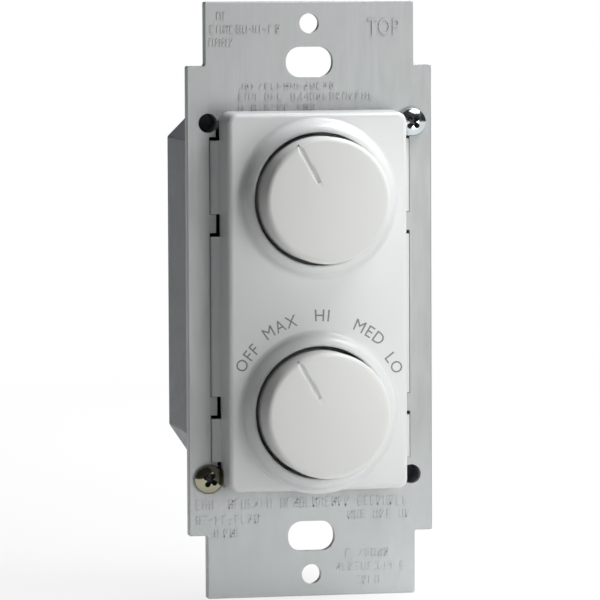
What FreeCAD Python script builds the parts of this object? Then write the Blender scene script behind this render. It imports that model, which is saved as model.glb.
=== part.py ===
import FreeCAD, Part
import Sketcher
import math
import os
import re

# Wall control with two turning knobs: a light dimmer above, a fan speed selector below.
# X is to the right, Z is up, the front faces -Y. The strap's back face is y = 0 and the
# origin is half-way between the two slots for the wall box's screws.

os.makedirs("parts", exist_ok=True)
doc = FreeCAD.newDocument("fan_speed_switch")

# Driving dimensions, millimetres and degrees
driving = {
    # Face: two rings, one above the other and a little low on the frame
    "ring_radius": 13.6, "ring_width": 2.0, "ring_height": 2.1, "ring_foot": 0.2, "ring_lip": 0.35,
    "ring_gap": 10.0, "ring_drop": 0.5,
    "frame_side": 2.525, "frame_end": 1.0, "frame_depth": 6.8, "frame_wall": 1.6,
    "frame_corner": 1.7, "frame_edge": 0.9, "frame_draft": 2.1,
    "well_clear": 1.2, "rib_clear": 2.6, "rib_height": 1.2,
    "tab_reach": 1.6, "tab_gap": 0.2, "tab_headroom": 0.65, "tab_lip": 0.65, "tab_hook": 1.15,
    "tab_proud": 0.3, "tab_root": 1.2, "tab_from_end": 5.1, "tab_break": 3.95,
    "upper_tab": 12.8, "lower_tab": 7.5,
    # Strap, slotted beside the frame, with the wall box's and the cover plate's spacings
    "strap_thickness": 1.6, "strap_side": 5.775, "end_step": 3.2, "shoulder_in": 0.52,
    "box_spacing": 83.34, "plate_beyond": 6.75, "strap_end": 3.88,
    "strap_corner": 0.4, "strap_rollover": 0.25,
    "box_slot_length": 8.4, "box_slot_width": 5.3, "plate_hole": 3.5,
    "slot_in": 0.25, "slot_out": 0.65, "slot_short": 1.6,
    "corner_hole": 3.4, "corner_beside": 1.975, "corner_below": 2.04,
    # Knobs, and how they stand in the photograph
    "knob_gap": 0.6, "knob_out": 7.0, "knob_edge": 1.0, "knob_wall": 1.5, "knob_face": 1.8,
    "knob_length": 12.6, "knob_draft": 0.1, "hub_radius": 4.8, "hub_length": 6.7,
    "web_half": 0.5, "web_back": 1.5,
    "pointer_width": 1.15, "pointer_floor": 0.4, "pointer_depth": 0.4, "pointer_start": 3.7,
    "light_setting": -29, "fan_setting": -30, "push_travel": 1.5,
    # Bushings, shafts and their fixings
    "bushing_radius": 4.6, "bushing_reach": 5.0, "bushing_gap": 0.15,
    "shaft_radius": 3.0, "shaft_front": 13.6, "tail_radius": 2.8, "flat_cut": 0.8,
    "flat_run": 0.6, "shoulder_radius": 3.8, "shoulder_end": 1.35,
    "running_fit": 0.05, "press_gap": 0.02, "contact_gap": 0.05, "lead_in": 0.4,
    "nut_flats": 12.0, "nut_height": 2.2, "washer_radius": 6.6, "washer_height": 0.5,
    "tooth_depth": 0.9, "tooth_half": 0.35, "plate_height": 1.0, "plate_beside": 2.0,
    # Cases, wheels, wipers and tracks of both controls
    "case_wall": 1.0, "case_ledge": 0.7, "disc_front": 5.2, "disc_height": 1.0,
    "pad_height": 0.1, "strip_height": 0.3, "dimple_radius": 0.5, "wiper_half": 1.0,
    "common_radius": 4.0, "common_half": 0.7, "pin_radius": 0.45, "pin_proud": 0.8,
    "dimmer_radius": 8.6, "dimmer_depth": 10.4, "dimmer_wheel": 7.2, "wheel_thick": 1.4,
    "collar_radius": 6.2, "tail_beyond": 0.8, "disc_bore_gap": 0.3,
    "track_out": 6.8, "track_in": 5.4, "track_break": 1.4, "track_dimple": 6.1,
    "terminal_pitch": 2.4, "terminal_drop": 5.8,
    "flange_thick": 0.8, "flange_radius": 2.7, "stem_radius": 1.2, "stem_end": 0.55,
    "contact_across": 5.4, "contact_head": 0.9, "bridge_beside": 0.6,
    "coil_wire": 0.15, "return_coil": 1.9, "detent_coil": 0.75,
    "selector_side": 21.0, "selector_depth": 9.6, "selector_corner": 2.0,
    "bore_wall": 1.2, "wheel_inside": 1.3, "wheel_front": 1.35, "wheel_height": 2.6,
    "notch_radius": 1.15, "notch_out": 0.75, "ball_radius": 1.0, "detent_wall": 1.75,
    "step_angle": 30, "pad_inside": 2.3, "pad_share": 0.52, "dimple_inside": 0.8,
    # Light dimmer's power switch, bolted to the strap's back
    "chip_beside": 3.125, "chip_tab": 6.0, "chip_length": 9.2, "chip_width": 10.2,
    "chip_height": 3.1, "chip_in": 0.1, "metal_height": 1.3, "sheet_height": 0.2, "sheet_margin": 0.8,
    "bolt_in": 2.8, "bolt_radius": 1.4, "bolt_gap": 0.25, "bolt_head": 2.7,
    "bolt_head_height": 1.5, "bolt_beyond": 3.0, "bolt_nut_height": 2.4, "bolt_nut_flats": 5.5,
    "leg_pitch": 2.54, "leg_half": 0.35, "leg_thick": 0.5, "leg_out": 2.6, "leg_up": 1.0,
    # Back housing and its two screws
    "housing_inset": 1.15, "housing_beyond": 0.6, "housing_wall": 1.8, "housing_edge": 0.8,
    "top_cut": 5.7, "top_cut_angle": 45, "foot_cut": 10.1, "foot_cut_angle": 34,
    "flange_depth": 5.2, "flange_corner": 2.0, "hook_room": 0.9, "hole_floor": 0.4,
    "screw_head": 5.2, "screw_head_height": 1.7, "screw_radius": 1.42, "screw_short": 0.6,
    "screw_rim": 0.5, "head_gap": 0.15,
    "lead_hole": 3.8, "lead_pitch": 6.5, "lead_above": 6.2, "lead_count": 4,
    "post_radius": 1.8, "post_pin": 0.8, "post_in": 5.75, "post_below": 11.8, "post_above": 15.3,
    # Circuit board and the parts that stand or lie on its back
    "board_clear": 1.6, "board_height": 1.6, "board_gap": 0.4, "board_corner": 1.0,
    "rear_room": 8.6, "can_edge": 0.6, "lead_wire": 0.35,
    "filter_length": 16.0, "filter_width": 7.0, "filter_below": 3.1, "filter_room": 1.0,
    "large_beside": 1.05, "large_width": 8.6, "large_room": 0.8, "small_beside": 1.55,
    "small_width": 7.0, "small_room": 2.0, "can_gap": 2.0, "can_above": 1.9, "can_middle": 0.5,
    "foot_in": 2.0, "choke_left": 8.0, "choke_up": 5.0, "choke_half": 8.0, "choke_room": 0.4,
    "choke_neck": 2.2, "cheek_width": 1.0, "winding_radius": 3.8, "winding_groove": 0.35,
    "resistor_beside": 4.05, "resistor_length": 8.5, "resistor_radius": 1.6,
    "resistor_up": 1.6, "resistor_pitch": 5.0,
    "diode_beside": 3.55, "diode_length": 4.0, "diode_radius": 1.0, "diode_up": 14.5,
    "disc_radius": 3.5, "disc_half": 1.1, "disc_left": 9.5, "disc_up": 15.5, "disc_feet": 2.0,
    "wire_out": 1.6, "eyelet_rim": 1.7, "eyelet_hole": 1.1, "eyelet_bore": 0.8,
}

# Sizes that follow from them; a row may only use the rows above it
following = {
    "opening_radius": "ring_radius - ring_width",
    "knob_radius": "opening_radius - knob_gap",
    "light_height": "ring_gap / 2 + ring_radius - ring_drop",
    "fan_height": "-(ring_gap / 2 + ring_radius + ring_drop)",
    "frame_width": "2 * (ring_radius + frame_side)",
    "frame_height": "ring_gap + 4 * ring_radius + 2 * frame_end",
    "upper_tab_top": "frame_height / 2 - tab_from_end",
    "upper_tab_foot": "upper_tab_top - upper_tab",
    "lower_tab_foot": "tab_from_end - frame_height / 2",
    "lower_tab_top": "lower_tab_foot + lower_tab",
    "middle_tab_top": "upper_tab_foot - tab_break",
    "middle_tab_foot": "lower_tab_top + tab_break",
    "strap_width": "frame_width + 2 * strap_side",
    "strap_end_width": "strap_width - 2 * end_step",
    "strap_shoulder": "box_spacing / 2 - shoulder_in",
    "plate_spacing": "box_spacing + 2 * plate_beyond",
    "strap_height": "plate_spacing + 2 * strap_end",
    "corner_across": "frame_width + 2 * corner_beside",
    "corner_upright": "frame_height - 2 * corner_below",
    "selector_bore": "selector_side / 2 - bore_wall",
    "wheel_radius": "selector_bore - wheel_inside",
    "notch_at": "wheel_radius + notch_out",
    "pad_circle": "selector_bore - pad_inside",
    "pad_radius": "(pad_circle - common_radius - common_half) * pad_share",
    "detent_end": "selector_side / sqrt(2) - detent_wall",
    "housing_width": "strap_width - 2 * housing_inset",
    "housing_end": "frame_height / 2 + housing_beyond",
    "lead_height": "lead_above - housing_end",
    "post_across": "housing_width - 2 * post_in",
    "post_top": "housing_end - post_below",
    "post_foot": "housing_end - post_above",
    "screw_reach": "flange_depth - screw_short",
    "board_front": "dimmer_depth + board_clear",
    "board_rear": "board_front + board_height",
    "board_side": "housing_width / 2 - housing_wall - board_gap",
    "housing_depth": "board_rear + rear_room + housing_wall",
    "pin_end": "board_rear + pin_proud",
    "chip_left": "chip_beside - frame_width / 2",
    "chip_right": "chip_left + chip_tab + chip_length",
    "bolt_at": "chip_left + bolt_in",
    "wheel_gap": "2 * contact_gap",
    "collar_end": "shoulder_end + contact_gap + push_travel",
    "plunger_front": "disc_front + tail_beyond + contact_gap",
    "plunger_rear": "plunger_front + flange_thick",
    "bridge_rear": "plunger_rear + strip_height",
    "case_floor": "dimmer_depth - case_wall",
    "contact_front": "bridge_rear + push_travel + wheel_gap",
    "can_foot": "fan_height + pad_circle + can_above",
    "board_top": "board_side + housing_end - housing_width / 2 - filter_below",
    "coil_half": "choke_half - cheek_width - press_gap",
    "choke_radius": "(rear_room - choke_room) / 2",
}
sizes = doc.addObject("Spreadsheet::Sheet", "sizes")
rows = {**{name: str(value) for name, value in driving.items()},
        **{name: "=" + formula for name, formula in following.items()}}
for row, (name, content) in enumerate(rows.items(), 1):
    sizes.set(f"A{row}", name)
    sizes.set(f"B{row}", content)
    sizes.setAlias(f"B{row}", name)
doc.recompute()

# Places that several parts share, written once in terms of the sizes
STRAP_FRONT = "-strap_thickness"
FRAME_FRONT = "-(strap_thickness + frame_depth)"
RIM_FRONT = "-(strap_thickness + frame_depth + ring_height)"
KNOB_FRONT = "-(strap_thickness + frame_depth + ring_height + knob_out)"
HUB_END = f"{KNOB_FRONT} + knob_face + hub_length"
BUSHING_FRONT = "-(strap_thickness + bushing_reach)"
SHAFT_FRONT = "-(strap_thickness + shaft_front)"
DISC_REAR = "disc_front + disc_height"
TRACK_FRONT = "disc_front - pad_height"
HOUSING_FLOOR = "housing_depth - housing_wall"
CHIP_FRONT = "sheet_height + metal_height"
BOARD_PIN = "pin_radius + running_fit"

finished = []


def bound(text):
    """The same formula with each size looked up in the sheet."""
    return re.sub(r"\b([a-z]+_[a-z_]+)\b", r"sizes.\1", str(text))


def number(text):
    return float(sizes.evalExpression(bound(text)))


def drive(thing, **formulas):
    for name, formula in formulas.items():
        thing.setExpression(name, bound(formula))


def seat(thing, x="0", y="0", z="0", axis=None, angle="0"):
    """Place a part; its position and its turn follow the sheet."""
    if axis is not None:
        thing.Placement.Rotation = FreeCAD.Rotation(axis, number(angle))
        thing.setExpression("Placement.Rotation.Angle", bound(angle))
    for side, formula in zip("xyz", (x, y, z)):
        thing.setExpression(f"Placement.Base.{side}", bound(formula))
    return thing


def finish(thing, label):
    thing.Label = label
    finished.append(thing)
    return thing


# Sketches: every corner is measured from the part's own origin


class Sketch:
    """A sketch on one of its body's origin planes, at a formula's distance from it."""

    def __init__(self, body, plane, at="0"):
        self.body = body
        self.plane = plane
        self.item = body.newObject("Sketcher::SketchObject", body.Name + "_sketch")
        role = plane + "_Plane"
        support = [o for o in body.Origin.OriginFeatures if o.Role == role][0]
        self.item.AttachmentSupport = (support, [""])
        self.item.MapMode = "FlatFace"
        # The XZ plane looks along -Y, so a distance along +Y is entered the other way round
        offset = f"-({at})" if plane == "XZ" else at
        self.item.setExpression("AttachmentOffset.Base.z", bound(offset))

    def rule(self, kind, *places, formula):
        row = self.item.addConstraint(Sketcher.Constraint(kind, *places, number(formula)))
        self.item.setExpression(f"Constraints[{row}]", bound(formula))

    def pin_down(self, item, end, across, up):
        self.rule("DistanceX", -1, 1, item, end, formula=across)
        self.rule("DistanceY", -1, 1, item, end, formula=up)

    def circle(self, across, up, radius):
        centre = FreeCAD.Vector(number(across), number(up), 0)
        item = self.item.addGeometry(Part.Circle(centre, FreeCAD.Vector(0, 0, 1), number(radius)))
        self.pin_down(item, 3, across, up)
        self.rule("Radius", item, formula=radius)
        return self

    def outline(self, corners):
        """Closed loop. A third value in a corner bends the edge that arrives there to that
        radius, outwards on a loop drawn anticlockwise, inwards with a minus sign."""
        spots = [FreeCAD.Vector(number(c[0]), number(c[1]), 0) for c in corners]
        ends = []
        for i, corner in enumerate(corners):
            start, stop = spots[i - 1], spots[i]
            if len(corner) == 2:
                item = self.item.addGeometry(Part.LineSegment(start, stop))
                ends.append((item, 1, 2))
                continue
            side = -1 if corner[2].startswith("-") else 1
            radius = corner[2].lstrip("-")
            chord = stop - start
            outward = FreeCAD.Vector(chord.y, -chord.x, 0).normalize() * side
            middle = (start + stop) * 0.5
            depth = math.sqrt(max(number(radius) ** 2 - (chord.Length / 2) ** 2, 0.0))
            top = middle + outward * (number(radius) - depth)
            item = self.item.addGeometry(Part.Arc(start, top, stop))
            first = self.item.getPoint(item, 1)
            ends.append((item, 1, 2) if first.distanceToPoint(start) < 1e-6 else (item, 2, 1))
            self.rule("Radius", item, formula=radius)
        for i, corner in enumerate(corners):
            item, first, last = ends[i]
            following, their_first = ends[(i + 1) % len(ends)][:2]
            self.item.addConstraint(Sketcher.Constraint("Coincident", item, last,
                                                        following, their_first))
            self.pin_down(item, last, corner[0], corner[1])
        return self

    def box(self, left, right, low, high):
        return self.outline([(left, low), (right, low), (right, high), (left, high)])

    def flatted_circle(self, radius, flat):
        """A circle about the origin with its underside cut level, as for a flatted shaft."""
        half = f"sqrt(({radius})^2 - ({flat})^2)"
        return self.outline([(f"-{half}", f"-({flat})"), (half, f"-({flat})"),
                             ("0", radius, radius), (f"-{half}", f"-({flat})", radius)][1:])


def hexagon(flats):
    corner = f"({flats}) / sqrt(3)"
    return [(f"{corner} * cos({60 * i})", f"{corner} * sin({60 * i})") for i in range(6)]


def new_body(name):
    return doc.addObject("PartDesign::Body", name)


def feature(sketch, kind, adds, **formulas):
    """One feature from a sketch; it must add or take material, or the model is wrong."""
    body = sketch.body
    before = body.Shape.Volume if body.Tip else 0.0
    item = body.newObject("PartDesign::" + kind, f"{body.Name}_{kind}")
    item.Profile = sketch.item
    flip = formulas.pop("flip", False)
    through = formulas.pop("through", False)
    if hasattr(item, "Reversed"):
        item.Reversed = flip
    if kind in ("Revolution", "Groove"):
        item.ReferenceAxis = (sketch.item, ["H_Axis"])
        item.Angle = 360
    if through:
        item.Type = 1
    drive(item, **formulas)
    body.Tip = item
    doc.recompute()
    change = item.Shape.Volume - before
    if (change > 1e-6) != adds or abs(change) < 1e-6:
        raise ValueError(f"{item.Label} changed the volume by {change:.4f}")
    return item


def pad(sketch, length, **more):
    return feature(sketch, "Pad", True, Length=length, **more)


def pocket(sketch, length="1", **more):
    return feature(sketch, "Pocket", False, Length=length, **more)


def turned(name, corners):
    """A turned part: its half section, (distance along +Y, radius), swept round local Y."""
    body = new_body(name)
    feature(Sketch(body, "YZ").outline(corners), "Revolution", True)
    return body


def round_edges(body, radius, wanted, kind="Fillet"):
    """Fillet or chamfer the edges of the body's present shape that a test picks."""
    base = body.Tip
    names = [f"Edge{i}" for i, e in enumerate(base.Shape.Edges, 1) if wanted(e)]
    item = body.newObject("PartDesign::" + kind, f"{body.Name}_{kind}")
    item.Base = (base, names)
    item.setExpression("Radius" if kind == "Fillet" else "Size", bound(radius))
    body.Tip = item
    doc.recompute()
    if not item.Shape.isValid() or abs(item.Shape.Volume - base.Shape.Volume) < 1e-6:
        raise ValueError(f"{item.Label} did nothing to {body.Name}")
    return item


def along_depth(edge):
    """True for a straight edge that runs along Y."""
    box = edge.BoundBox
    return box.YLength > 1e-3 and box.XLength < 1e-3 and box.ZLength < 1e-3


def at_depth(edge, y):
    box = edge.BoundBox
    return abs(box.YMin - number(y)) < 1e-4 and abs(box.YMax - number(y)) < 1e-4


def repeat_round(body, item, count):
    """Repeat a feature evenly round the body's Y axis."""
    pattern = body.newObject("PartDesign::PolarPattern", body.Name + "_pattern")
    pattern.Originals = [item]
    axis = [o for o in body.Origin.OriginFeatures if o.Role == "Y_Axis"][0]
    pattern.Axis = (axis, [""])
    pattern.Angle = 360
    pattern.Occurrences = count
    body.Tip = pattern
    doc.recompute()
    return pattern


# Plain solids for the electrical parts


def block(name, left, right, front, rear, low, high):
    item = doc.addObject("Part::Box", name)
    drive(item, Length=f"({right}) - ({left})", Width=f"({rear}) - ({front})",
          Height=f"({high}) - ({low})")
    return seat(item, left, front, low)


def rod(name, x, z, radius, front, rear):
    """A round rod along Y."""
    item = doc.addObject("Part::Cylinder", name)
    drive(item, Radius=radius, Height=f"({rear}) - ({front})")
    item.Placement.Rotation = FreeCAD.Rotation(FreeCAD.Vector(1, 0, 0), -90)
    return seat(item, x, front, z)


def cross_rod(name, left, right, y, z, radius):
    """A round rod along X."""
    item = doc.addObject("Part::Cylinder", name)
    drive(item, Radius=radius, Height=f"({right}) - ({left})")
    item.Placement.Rotation = FreeCAD.Rotation(FreeCAD.Vector(0, 1, 0), 90)
    return seat(item, left, y, z)


def group(items, name):
    """Separate solids of one kind, kept together under one name."""
    item = doc.addObject("Part::Compound", name)
    item.Links = items
    return item


def fused(items, name):
    item = doc.addObject("Part::MultiFuse", name)
    item.Shapes = items
    return item


def cut(base, tools, name):
    item = doc.addObject("Part::Cut", name)
    item.Base = base
    item.Tool = tools[0] if len(tools) == 1 else fused(tools, name + "_tools")
    return item


def eased(base, radius, name, wanted):
    """Round the edges of a plain solid that a test picks."""
    doc.recompute()
    item = doc.addObject("Part::Fillet", name)
    item.Base = base
    size = number(radius)
    item.Edges = [(i, size, size) for i, e in enumerate(base.Shape.Edges, 1) if wanted(e)]
    return item


# Both controls hang on the strap by a threaded bushing, a washer and a nut
controls = {"light": "light_height", "fan": "fan_height"}
tabs = ("upper", "middle", "lower")
sides = ("", "-")
local_y = FreeCAD.Vector(0, 1, 0)

# The two corners with a screw in them, and the two left open
screwed = [("corner_across/2", "corner_upright/2"), ("-corner_across/2", "-corner_upright/2")]
open_holes = [("-corner_across/2", "corner_upright/2"), ("corner_across/2", "-corner_upright/2")]


def sorted_pair(sign, near, far):
    """Left and right limits of something that is near to far from the middle, on one side."""
    return (f"-({far})", f"-({near})") if sign else (near, far)


# Mounting strap: one stamped plate, wide in the middle, that also takes the heat away
def make_strap():
    body = new_body("strap")
    wide, narrow = "strap_width/2", "strap_end_width/2"
    shoulder, end = "strap_shoulder", "strap_height/2"
    right = [(narrow, f"-{end}"), (narrow, f"-{shoulder}"), (wide, f"-{shoulder}"),
             (wide, shoulder), (narrow, shoulder), (narrow, end)]
    left = [(f"-{x}", z) for x, z in reversed(right)]
    pad(Sketch(body, "XZ").outline(right + left), "strap_thickness")
    round_edges(body, "strap_corner", along_depth)
    round_edges(body, "strap_rollover", lambda e: at_depth(e, STRAP_FRONT), "Chamfer")

    # Slots for the wall box's screws, holes for the cover plate's screws
    half = number("box_slot_length/2")
    reach = number("box_spacing/2 + box_slot_width/2")
    for sign in sides:
        middle = f"{sign}box_spacing/2"
        slot = Sketch(body, "XZ", STRAP_FRONT)
        slot.box("-box_slot_length/2", "box_slot_length/2",
                 f"{middle} - box_slot_width/2", f"{middle} + box_slot_width/2")
        pocket(slot, through=True)
    round_edges(body, "box_slot_width * 0.46", lambda e: along_depth(e)
                and abs(abs(e.BoundBox.XMin) - half) < 1e-3
                and min(abs(abs(e.BoundBox.ZMin) - z)
                        for z in (reach, reach - number("box_slot_width"))) < 1e-3)
    holes = Sketch(body, "XZ", STRAP_FRONT)
    for sign in sides:
        holes.circle("0", f"{sign}plate_spacing/2", "plate_hole/2")
    for middle in controls.values():
        holes.circle("0", middle, "bushing_radius + bushing_gap")
    holes.circle("bolt_at", "0", "bolt_radius + bolt_gap")
    pocket(holes, through=True)

    # One long slot down each side for the face frame's tabs, wider where a tab goes through
    for sign in sides:
        slot = Sketch(body, "XZ", STRAP_FRONT)
        slot.box(*sorted_pair(sign, "frame_width/2 - slot_in", "frame_width/2 + slot_out"),
                 "slot_short - frame_height/2", "frame_height/2 - slot_short")
        pocket(slot, through=True)
        notches = Sketch(body, "XZ", STRAP_FRONT)
        for tab in tabs:
            notches.box(*sorted_pair(sign, "frame_width/2 - tab_root - 2 * contact_gap",
                                     "frame_width/2 + tab_reach + tab_gap"),
                        f"{tab}_tab_foot - 2 * contact_gap", f"{tab}_tab_top + tab_headroom")
        pocket(notches, through=True)
    corners = Sketch(body, "XZ", STRAP_FRONT)
    for x, z in screwed + open_holes:
        corners.circle(x, z, "corner_hole/2")
    pocket(corners, through=True)
    return finish(body, "mounting_strap")


# Face frame: moulded cover with two raised rings, hollow behind, held by six tabs
def make_frame():
    body = new_body("frame")
    side, end = "frame_width/2", "frame_height/2"
    outside = Sketch(body, "XZ", STRAP_FRONT).box(f"-{side}", side, f"-{end}", end)
    pad(outside, "frame_depth", TaperAngle="-frame_draft")
    round_edges(body, "frame_corner", lambda e: abs(e.BoundBox.YLength
                                                    - number("frame_depth")) < 1e-3)
    round_edges(body, "frame_edge", lambda e: at_depth(e, FRAME_FRONT))

    # The rings rise steeply and round over to the opening
    foot = f"{FRAME_FRONT} + frame_edge + ring_foot"
    for middle in controls.values():
        ring = Sketch(body, "YZ")
        ring.outline([(foot, f"{middle} + opening_radius"),
                      (foot, f"{middle} + ring_radius"),
                      (f"{FRAME_FRONT} - ring_foot", f"{middle} + ring_radius"),
                      (RIM_FRONT, f"{middle} + opening_radius + ring_lip", "ring_height"),
                      (f"{RIM_FRONT} + ring_lip", f"{middle} + opening_radius",
                       "ring_lip * sqrt(2)")])
        axis = Sketch(body, "YZ")
        line = axis.item.addGeometry(Part.LineSegment(
            FreeCAD.Vector(number(foot), number(middle), 0),
            FreeCAD.Vector(number(RIM_FRONT), number(middle), 0)))
        axis.pin_down(line, 1, foot, middle)
        axis.pin_down(line, 2, RIM_FRONT, middle)
        ring_feature = body.newObject("PartDesign::Revolution", "ring")
        ring_feature.Profile = ring.item
        ring_feature.ReferenceAxis = (axis.item, ["Edge1"])
        ring_feature.Angle = 360
        body.Tip = ring_feature
        doc.recompute()

    # Hollow from behind, then the wells the knobs sink into and a rib between them
    inner_side, inner_end = f"({side} - frame_wall)", f"({end} - frame_wall)"
    pocket(Sketch(body, "XZ", STRAP_FRONT).box(f"-{inner_side}", inner_side,
                                               f"-{inner_end}", inner_end),
           "frame_depth - frame_wall", flip=True, TaperAngle="-frame_draft")
    wells = Sketch(body, "XZ", f"{STRAP_FRONT} - well_clear")
    for middle in controls.values():
        wells.circle("0", middle, "opening_radius + frame_wall")
    pad(wells, "frame_depth - frame_wall - well_clear")
    rib = Sketch(body, "XZ", f"{STRAP_FRONT} - rib_clear")
    rib.box(f"-{inner_side}", inner_side, "-ring_drop - rib_height/2", "rib_height/2 - ring_drop")
    pad(rib, "frame_depth - frame_wall - rib_clear")
    openings = Sketch(body, "XZ", STRAP_FRONT)
    for middle in controls.values():
        openings.circle("0", middle, "opening_radius")
    pocket(openings, "strap_height", flip=True)

    # Tabs: through the strap's side slots, with a lip that hooks behind it
    for sign in sides:
        stems, lips = Sketch(body, "XZ", "tab_hook"), Sketch(body, "XZ", "tab_hook")
        for tab in tabs:
            span = (f"{tab}_tab_foot", f"{tab}_tab_top")
            root, reach = f"{side} - tab_root", f"{side} + tab_reach"
            stems.box(*sorted_pair(sign, root, reach), *span)
            lips.box(*sorted_pair(sign, root, f"{reach} + tab_lip"), *span)
        pad(stems, "tab_hook + strap_thickness + tab_proud")
        pad(lips, "tab_hook - contact_gap")

    # Room beside the two screw heads
    heads = Sketch(body, "XZ", STRAP_FRONT)
    for x, z in screwed:
        heads.circle(x, z, "screw_head/2 + head_gap")
    pocket(heads, "screw_head_height + 2 * head_gap", flip=True)
    return finish(body, "face_frame")


# Knobs: cups with a flatted hub, four webs inside and a pointer groove on the face
def make_knob(name, middle, setting):
    rear = f"{KNOB_FRONT} + knob_length"
    inside = f"{KNOB_FRONT} + knob_face"
    body = turned(name, [
        (KNOB_FRONT, "0"),
        (inside, "0"),
        (inside, "knob_radius - knob_wall"),
        (rear, "knob_radius - knob_wall + 2 * knob_draft"),
        (rear, "knob_radius - knob_draft"),
        (f"{KNOB_FRONT} + knob_edge", "knob_radius"),
        (KNOB_FRONT, "knob_radius - knob_edge", "knob_edge")])
    pad(Sketch(body, "XZ", HUB_END).circle("0", "0", "hub_radius"), "hub_length")
    web = pad(Sketch(body, "XZ", f"{HUB_END} - web_back").box(
        "hub_radius - web_half", "knob_radius - knob_wall/2", "-web_half", "web_half"),
        "hub_length - web_back")
    repeat_round(body, web, 4)
    bore = Sketch(body, "XZ", HUB_END)
    bore.flatted_circle("shaft_radius + press_gap", "shaft_radius + press_gap - flat_cut")
    pocket(bore, f"{HUB_END} - ({SHAFT_FRONT}) + press_gap", flip=True)
    groove = Sketch(body, "XY", "pointer_start")
    groove.outline([("-pointer_width/2", KNOB_FRONT),
                    ("pointer_width/2", KNOB_FRONT),
                    ("pointer_floor/2", f"{KNOB_FRONT} + pointer_depth"),
                    ("-pointer_floor/2", f"{KNOB_FRONT} + pointer_depth")])
    pocket(groove, "knob_radius", flip=True)
    # The groove runs out over the knob's rounded edge as a short nick in its side
    nick = Sketch(body, "XY", "knob_radius - pointer_depth")
    nick.box("-pointer_width/2", "pointer_width/2", KNOB_FRONT, f"{KNOB_FRONT} + knob_edge * 1.6")
    pocket(nick, "knob_radius", flip=True)
    seat(body, z=middle, axis=local_y, angle=setting)
    return finish(body, name)


# Threaded bushing profile, shared by the two controls: (y, radius) from the front
def bushing_section(plate_radius):
    bore = "shaft_radius + running_fit"
    return [(BUSHING_FRONT, bore),
            ("plate_height", bore),
            ("plate_height", plate_radius),
            ("0", plate_radius),
            ("0", "bushing_radius"),
            (f"{BUSHING_FRONT} + lead_in", "bushing_radius"),
            (BUSHING_FRONT, "bushing_radius - lead_in")]


def make_fixings(name, middle):
    washer_front = f"{STRAP_FRONT} - washer_height"
    nut_front = f"{washer_front} - nut_height"
    washer = turned(name + "_washer", [
        (washer_front, "bushing_radius + bushing_gap"),
        (STRAP_FRONT, "bushing_radius + bushing_gap"),
        (STRAP_FRONT, "washer_radius"),
        (washer_front, "washer_radius")])
    tooth = pocket(Sketch(washer, "XZ", washer_front).box(
        "washer_radius - tooth_depth", "washer_radius + tooth_depth",
        "-tooth_half", "tooth_half"), through=True)
    repeat_round(washer, tooth, 12)
    finish(seat(washer, z=middle), name + "_washer")
    nut = new_body(name + "_nut")
    pad(Sketch(nut, "XZ", washer_front).outline(hexagon("nut_flats")), "nut_height")
    pocket(Sketch(nut, "XZ", nut_front).circle("0", "0", "bushing_radius + press_gap"),
           through=True)
    round_edges(nut, "lead_in", lambda e: at_depth(e, nut_front), "Chamfer")
    finish(seat(nut, z=middle), name + "_nut")


def make_shaft(name, middle, setting, rear):
    shoulder_front = "plate_height + contact_gap"
    body = turned(name, [
        (SHAFT_FRONT, "0"),
        (rear, "0"),
        (rear, "tail_radius"),
        ("shoulder_end", "tail_radius"),
        ("shoulder_end", "shoulder_radius"),
        (shoulder_front, "shoulder_radius"),
        (shoulder_front, "shaft_radius"),
        (f"{SHAFT_FRONT} + lead_in", "shaft_radius"),
        (SHAFT_FRONT, "shaft_radius - lead_in")])
    for front, radius, length in (
            (SHAFT_FRONT, "shaft_radius", f"{HUB_END} + flat_run - ({SHAFT_FRONT})"),
            ("shoulder_end", "tail_radius", f"{rear} - shoulder_end")):
        flat = Sketch(body, "XZ", front)
        flat.box(f"-2 * {radius}", f"2 * {radius}", f"-2 * {radius}", f"flat_cut - {radius}")
        pocket(flat, length)
    seat(body, z=middle, axis=local_y, angle=setting)
    return finish(body, name)


def make_wiper(name, base, reach, middle, setting):
    """Sprung contact on the back of a wheel: ring, arm and two dimples that reach the track."""
    body = new_body(name)
    rear = f"{base} + strip_height"
    pad(Sketch(body, "XZ", rear).circle("0", "0", "common_radius + dimple_radius + strip_height")
        .circle("0", "0", "common_radius - dimple_radius - strip_height"), "strip_height")
    pad(Sketch(body, "XZ", rear).box("-wiper_half", "wiper_half", "common_radius + dimple_radius",
                                     f"{reach} + dimple_radius + strip_height"), "strip_height")
    tips = Sketch(body, "XZ", f"{TRACK_FRONT} - contact_gap")
    tips.circle("0", reach, "dimple_radius").circle("0", "-common_radius", "dimple_radius")
    pad(tips, f"{TRACK_FRONT} - contact_gap - ({rear})")
    seat(body, z=middle, axis=local_y, angle=setting)
    return finish(body, name)


def collector_ring(name, middle):
    """Flat ring on the disc under a wiper's inner dimple."""
    return cut(rod(name, "0", middle, "common_radius + common_half", TRACK_FRONT, "disc_front"),
               [rod(name + "_bore", "0", middle, "common_radius - common_half", "0",
                    DISC_REAR)], name + "_ring")


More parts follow.
